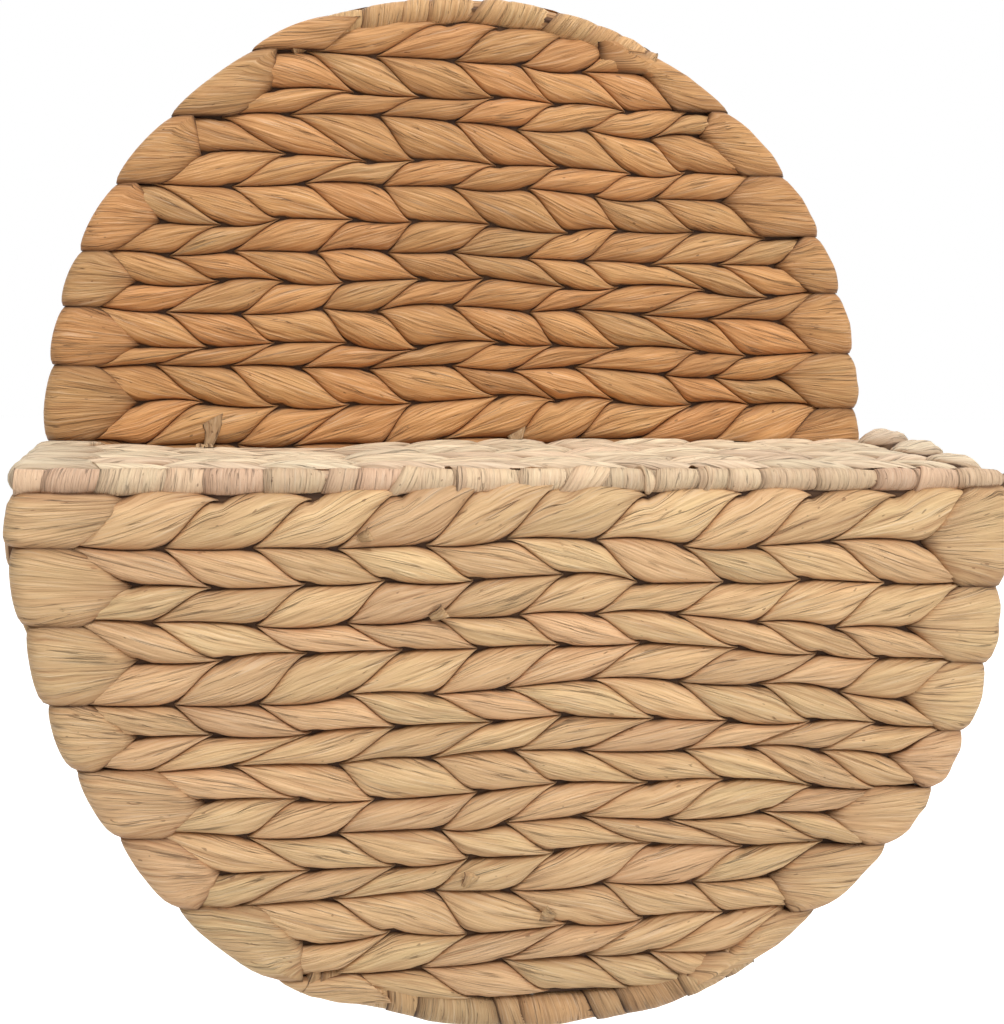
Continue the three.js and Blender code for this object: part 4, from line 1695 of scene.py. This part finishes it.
@dataclass
class LeafEnds:
    """Short ends of leaf that stick out of the front panel where the weaver joined a new one."""

    places: tuple[tuple[float, float, float], ...] = (
        (-72.0, -21.0, 30.0), (-44.0, -51.5, 35.0), (-29.0, -155.0, 70.0), (7.0, -168.5, 150.0))
    seed: int = 801
    length: float = 7.5
    half_width: float = 2.6
    thickness: float = 0.6
    depth_in: float = 3.0
    height: float = 5.6
    fray: float = 0.35

    def make(self, materials: Materials) -> None:
        """Makes all the ends as one piece.

        Args:
            materials: leaf finish and inner finish.
        """
        rng = np.random.default_rng(self.seed)
        mesh = Mesher("front_leaf_ends")
        for x, z, angle in self.places:
            self.one_end(mesh, x, z, math.radians(angle), rng)
        mesh.build(materials, "basket", "front_leaf")

    def one_end(self, mesh: Mesher, x: float, z: float, angle: float, rng: Random) -> None:
        """Adds one end, which comes out of a pit, widens and curls over.

        Args:
            mesh: the mesh that takes it.
            x: the pit's place along X.
            z: the pit's height.
            angle: the direction that it points in, from +X towards +Z.
            rng: source of its unevenness.
        """
        share = np.linspace(0.0, 1.0, 9)[:, None]
        turn = np.linspace(0.0, 2 * math.pi, 15)[None, :]
        curl = rng.uniform(0.6, 1.1)
        away = self.length * np.sin(curl * share * 1.4) / 1.2
        out = self.depth_in + self.height * np.sin(math.pi * (0.15 + 0.5 * share))
        wide = self.half_width * (0.55 + 0.6 * share**0.8) * np.cos(turn)
        wide += self.fray * share**2 * np.cos(3.0 * turn + 6.0 * curl)
        thick = self.thickness * (np.sin(turn) * (1.0 - 0.7 * share) + np.cos(2.0 * turn) * share)
        along_x, along_z = math.cos(angle), math.sin(angle)
        points = np.stack([x + away * along_x - wide * along_z, FRONT_Y - out - thick,
                           z + away * along_z + wide * along_x], axis=-1)
        mesh.strip(points, points[4, 3] - points[4].mean(axis=0), rng.random(3))


class Lamp(NamedTuple):
    """A round soft lamp: its place and width in metres, and its power in watts."""

    name: str
    place: tuple[float, float, float]
    width: float
    power: float


@dataclass(frozen=True)
class Studio:
    """White room, soft lamps and the camera that took the picture."""

    place: tuple[float, float, float] = (-0.146892, -0.607834, 0.060538)
    pitch: float = -0.0238
    yaw: float = -0.1475
    roll: float = -0.0151
    focal_pixels: float = 1287.04
    principal: tuple[float, float] = (350.0, 352.0)
    picture: tuple[int, int] = (1004, 1024)
    sensor: float = 36.0
    aim: tuple[float, float, float] = (0.0, -0.07, 0.0)
    lamp_list: tuple[Lamp, ...] = (
        Lamp("key_lamp", (-0.1, -1.7, 1.9), 0.9, 31.0), Lamp("fill_lamp", (1.5, -1.6, 0.7), 1.6, 8.0),
        Lamp("top_lamp", (0.2, -0.4, 2.0), 1.2, 16.0), Lamp("rear_lamp", (0.3, 1.8, 1.2), 1.8, 16.0))
    room_colour: Colour = (1.0, 0.985, 0.96)
    room_light: float = 0.27
    floor_height: float = -0.45
    floor_reach: float = 6.0
    floor_glow: float = 0.72

    def camera(self) -> None:
        """Makes the camera."""
        data = bpy.data.cameras.new("camera")
        longest = max(self.picture)
        data.sensor_fit = "AUTO"
        data.sensor_width = self.sensor
        data.lens = self.focal_pixels * self.sensor / longest
        data.shift_x = (self.picture[0] / 2 - self.principal[0]) / longest
        data.shift_y = (self.principal[1] - self.picture[1] / 2) / longest
        data.clip_start = 0.01
        data.clip_end = 50.0
        made = bpy.data.objects.new("camera", data)
        turn = Matrix.Rotation(self.yaw, 3, "Z") @ Matrix.Rotation(self.pitch, 3, "X")
        turn = turn @ Matrix.Rotation(self.roll, 3, "Y")
        right, ahead, up = (turn @ Vector(axis) for axis in ((1, 0, 0), (0, 1, 0), (0, 0, 1)))
        world = Matrix((right, up, -ahead)).transposed().to_4x4()
        world.translation = Vector(self.place)
        made.matrix_world = world
        bpy.context.scene.camera = link(made)

    def lamps(self) -> None:
        """Makes the soft lamps."""
        for lamp in self.lamp_list:
            data = bpy.data.lights.new(lamp.name, "AREA")
            data.shape = "DISK"
            data.size = lamp.width
            data.energy = lamp.power
            made = link(bpy.data.objects.new(lamp.name, data))
            made.location = lamp.place
            aim = Vector(self.aim) - Vector(lamp.place)
            made.rotation_euler = aim.to_track_quat("-Z", "Y").to_euler()

    def room(self) -> None:
        """Makes the pale room light, which is white where it is seen."""
        nodes = Nodes(bpy.data.worlds.new("pale_room"), "ShaderNodeOutputWorld")
        light = nodes.add("ShaderNodeBackground", {"Color": self.room_colour, "Strength": self.room_light})
        white = nodes.add("ShaderNodeBackground", {"Color": (1.0, 1.0, 1.0), "Strength": 1.0})
        mixed = nodes.add("ShaderNodeMixShader")
        for socket, value in zip(mixed.inputs, (nodes.white_rays(), light.outputs[0], white.outputs[0])):
            nodes.feed(socket, value)
        nodes.feed(nodes.output.inputs["Surface"], mixed.outputs[0])
        bpy.context.scene.world = nodes.owner

    def floor(self) -> None:
        """Makes the plain pale floor, which keeps the basket's shadow."""
        mesh = bpy.data.meshes.new("floor")
        corners = [(self.floor_reach * x, self.floor_reach * y, self.floor_height)
                   for x, y in ((-1, -1), (1, -1), (1, 1), (-1, 1))]
        mesh.from_pydata(corners, [], [(0, 1, 2, 3)])
        nodes = Nodes(bpy.data.materials.new("pale_floor"))
        speck = nodes.noise(nodes.add("ShaderNodeTexCoord").outputs["Object"], 40.0, 3.0)
        colour = nodes.blend(nodes.spread(speck, 0.3, 0.7), (0.86, 0.86, 0.85), (0.88, 0.88, 0.87))
        skin = nodes.add("ShaderNodeBsdfPrincipled", {"Roughness": 0.9, "Base Color": colour})
        seen = nodes.times(nodes.white_rays(), self.floor_glow)
        glow = nodes.add("ShaderNodeEmission", {"Color": (1.0, 1.0, 1.0), "Strength": seen})
        both = nodes.add("ShaderNodeAddShader")
        nodes.feed(both.inputs[0], skin.outputs["BSDF"])
        nodes.feed(both.inputs[1], glow.outputs["Emission"])
        nodes.feed(nodes.output.inputs["Surface"], both.outputs["Shader"])
        mesh.materials.append(nodes.owner)
        link(bpy.data.objects.new("floor", mesh))

    def build(self) -> None:
        """Builds the whole studio."""
        self.camera()
        self.lamps()
        self.room()
        self.floor()
        bpy.context.scene.view_settings.view_transform = "Standard"


LEAF_FINISHES = (
    LeafFinish("back_leaf_tan", (0.73, 0.392, 0.157), (0.72, 0.345, 0.133), (0.69, 0.42, 0.187),
               (0.25, 0.088, 0.026), seam_width=0.012),
    LeafFinish("front_leaf_straw", (0.86, 0.57, 0.292), (0.84, 0.515, 0.282), (0.83, 0.595, 0.31),
               (0.36, 0.145, 0.052), seam_width=0.008),
    # The lid's leaf is paler than the front's: painted light on the lid's top, which faces the lamps above;
    # its seams also get stronger painted shade.
    LeafFinish("lid_leaf_painted_light", (0.92, 0.755, 0.52), (0.90, 0.675, 0.475), (0.92, 0.79, 0.56),
               (0.27, 0.125, 0.052), seam_dark=1.35, seam_width=0.03),
    LeafFinish("wound_leaf", (0.62, 0.40, 0.20), (0.56, 0.31, 0.145), (0.64, 0.45, 0.24),
               (0.24, 0.11, 0.045), tip_dark=0.0, seam_dark=1.0, fibre_depth=0.4, lines=0.2, seam_width=0.02),
    LeafFinish("wound_leaf_tan", (0.74, 0.44, 0.20), (0.72, 0.38, 0.16), (0.72, 0.47, 0.22),
               (0.26, 0.10, 0.035), tip_dark=0.0, seam_dark=1.1, fibre_depth=0.4, lines=0.2),
    LeafFinish("rim_leaf_cream", (0.84, 0.62, 0.39), (0.79, 0.51, 0.34), (0.86, 0.67, 0.43),
               (0.40, 0.20, 0.11), tip_dark=0.0, seam_dark=0.65, fibre_depth=0.28, lines=0.0),
    LeafFinish("tie_leaf", (0.70, 0.48, 0.26), (0.66, 0.40, 0.22), (0.70, 0.54, 0.31),
               (0.30, 0.14, 0.06), tip_dark=0.1),
)


@dataclass
class Basket:
    """The whole basket: panels, side, lid, wound wires, ties and the bare frames."""

    front_lines: tuple[float, ...] = (
        -5.3, -25.2, -38.5, -52.8, -64.0, -79.2, -92.4, -105.4, -119.0, -131.8, -145.0, -158.0, -172.8,
        -186.5, -200.5)
    back_shown_lines: tuple[float, ...] = (
        200.5, 183.5, 166.5, 154.0, 135.5, 123.2, 106.5, 92.0, 79.0, 66.0, 49.5, 38.5, 22.5, 3.0)
    back_bottom: float = -202.0
    back_rows: int = 26
    side_lines: tuple[float, float] = (-119.7, -14.3)
    band_rows: int = 6
    wrap_half_angle: float = 27.0
    hoop_wrap_radius: float = 6.3
    frames: tuple[str, ...] = ("back_frame", "pocket_frame", "lid_frame")
    looks: dict[str, Materials] = field(default_factory=dict)

    def finishes(self) -> None:
        """Makes every leaf finish, each with the shaded leaf that lies inside the weave."""
        inner = InnerLeafFinish().make()
        for finish in LEAF_FINISHES:
            self.looks[finish.name] = [finish.make(), inner]

    def panels(self) -> None:
        """Makes the back panel, the front panel and the pocket's side."""
        hidden_rows = self.back_rows + 1 - len(self.back_shown_lines)
        lower = np.linspace(self.back_shown_lines[-1], self.back_bottom, hidden_rows + 1)[1:]
        back = Weave("back_course", PanelGround(BACK_Y, BACK_DENTS, sway=1.6, phase=0.4),
                     [*self.back_shown_lines, *lower.tolist()], seed=11, unevenness=3.8, wander=1.2,
                     swell=1.5, top_swell=2.2, slab_reach=(3.0, 0.0), shown=StitchForm(most=7.3),
                     edge_form=EdgeForm(rear_most=6.9, step=0.5))
        back.make(self.looks["back_leaf_tan"], "basket", "back_leaf")
        front = Weave("front_course", PanelGround(FRONT_Y, FRONT_DENTS, sway=1.2, phase=2.1, fan=FRONT_FAN),
                      list(self.front_lines), seed=23, top_swell=4.2, band_raise=2.5, slab_reach=(3.0, 0.0),
                      shade=(1.0, 0.35), edge_form=EdgeForm(bulge=1.2, step=1.3, groove=2.2))
        front.make(self.looks["front_leaf_straw"], "basket", "front_leaf")
        lines = np.linspace(*self.side_lines, self.band_rows + 1).tolist()
        side = Weave("side_course", BandGround(), lines, seed=31, slab_reach=(-2.4, 2.4))
        side.make(self.looks["front_leaf_straw"], "basket", "front_leaf")

    def lid(self, ties: LeafTies) -> None:
        """Makes the lid, with room for the ties.

        Args:
            ties: the ties that its rear row is notched for.
        """
        lines = np.linspace(LID_FRONT_Y, LID_REAR_Y, self.band_rows + 1).tolist()
        lid = LidWeave("lid_course", LidGround(), lines, seed=41, notches=ties.places,
                       shown=StitchForm(core=1.6, crown=4.8, fold=0.3, lip=0.0, gap=0.45, most=6.5),
                       behind=StitchForm(core=1.6, crown=4.4, most=6.4, along=15, across=8),
                       band_length=(20.0, 34.0), core_drop=0.0, wander=0.6, swell=0.8,
                       edge_form=EdgeForm(bulge=3.6, rear_most=6.4, groove=2.4))
        lid.make(self.looks["lid_leaf_painted_light"], "lid", "lid_leaf")

    def wound(self) -> None:
        """Makes the wound wires."""
        rim = WoundWire("rim_wrap", 51, 5.0, 395.0, shift=-1.0, turn=19.0, lean=(0.05, 0.35), bead=0.6,
                        taper=(1.05, 0.9), closed_end=6.5, strands=RIM_STRANDS)
        rim.make(self.looks["rim_leaf_cream"], "basket", "lid_leaf")
        radius, length = self.hoop_wrap_radius, math.radians(self.wrap_half_angle) * 2 * HOOP_RADIUS
        top = WoundHoop("back_top_wrap", 52, radius, length, turn=17.0, lean=(0.5, 1.1), bead=1.3)
        top.make(self.looks["wound_leaf_tan"], "basket", "wrap_leaf")
        bottom = WoundHoop("back_bottom_wrap", 53, radius, length, arc=Arc.BOTTOM)
        bottom.make(self.looks["wound_leaf_tan"], "basket", "wrap_leaf")
        front = WoundHoop("front_bottom_wrap", 54, radius, length, mid_y=FRONT_Y, arc=Arc.BOTTOM,
                          dents=FRONT_DENTS)
        front.make(self.looks["wound_leaf"], "basket", "wrap_leaf")

    def wires(self) -> None:
        """Gives the bare frames their finish."""
        wire = WireFinish().make()
        for name in self.frames:
            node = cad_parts[name]
            node.data.materials.clear()
            node.data.materials.append(wire)
            for slot in node.material_slots:
                slot.material = wire
            log.info("%s: drawn wire", name)

    def build(self) -> None:
        """Builds every piece in order."""
        ties = LeafTies()
        self.finishes()
        self.panels()
        self.lid(ties)
        self.wound()
        ties.make(self.looks["tie_leaf"])
        LeafEnds().make(self.looks["wound_leaf"])
        self.wires()


def main() -> None:
    """Builds the studio and the basket."""
    logging.basicConfig(level=logging.INFO, format="%(message)s")
    Studio().build()
    Basket().build()


if __name__ == "__main__":
    main()
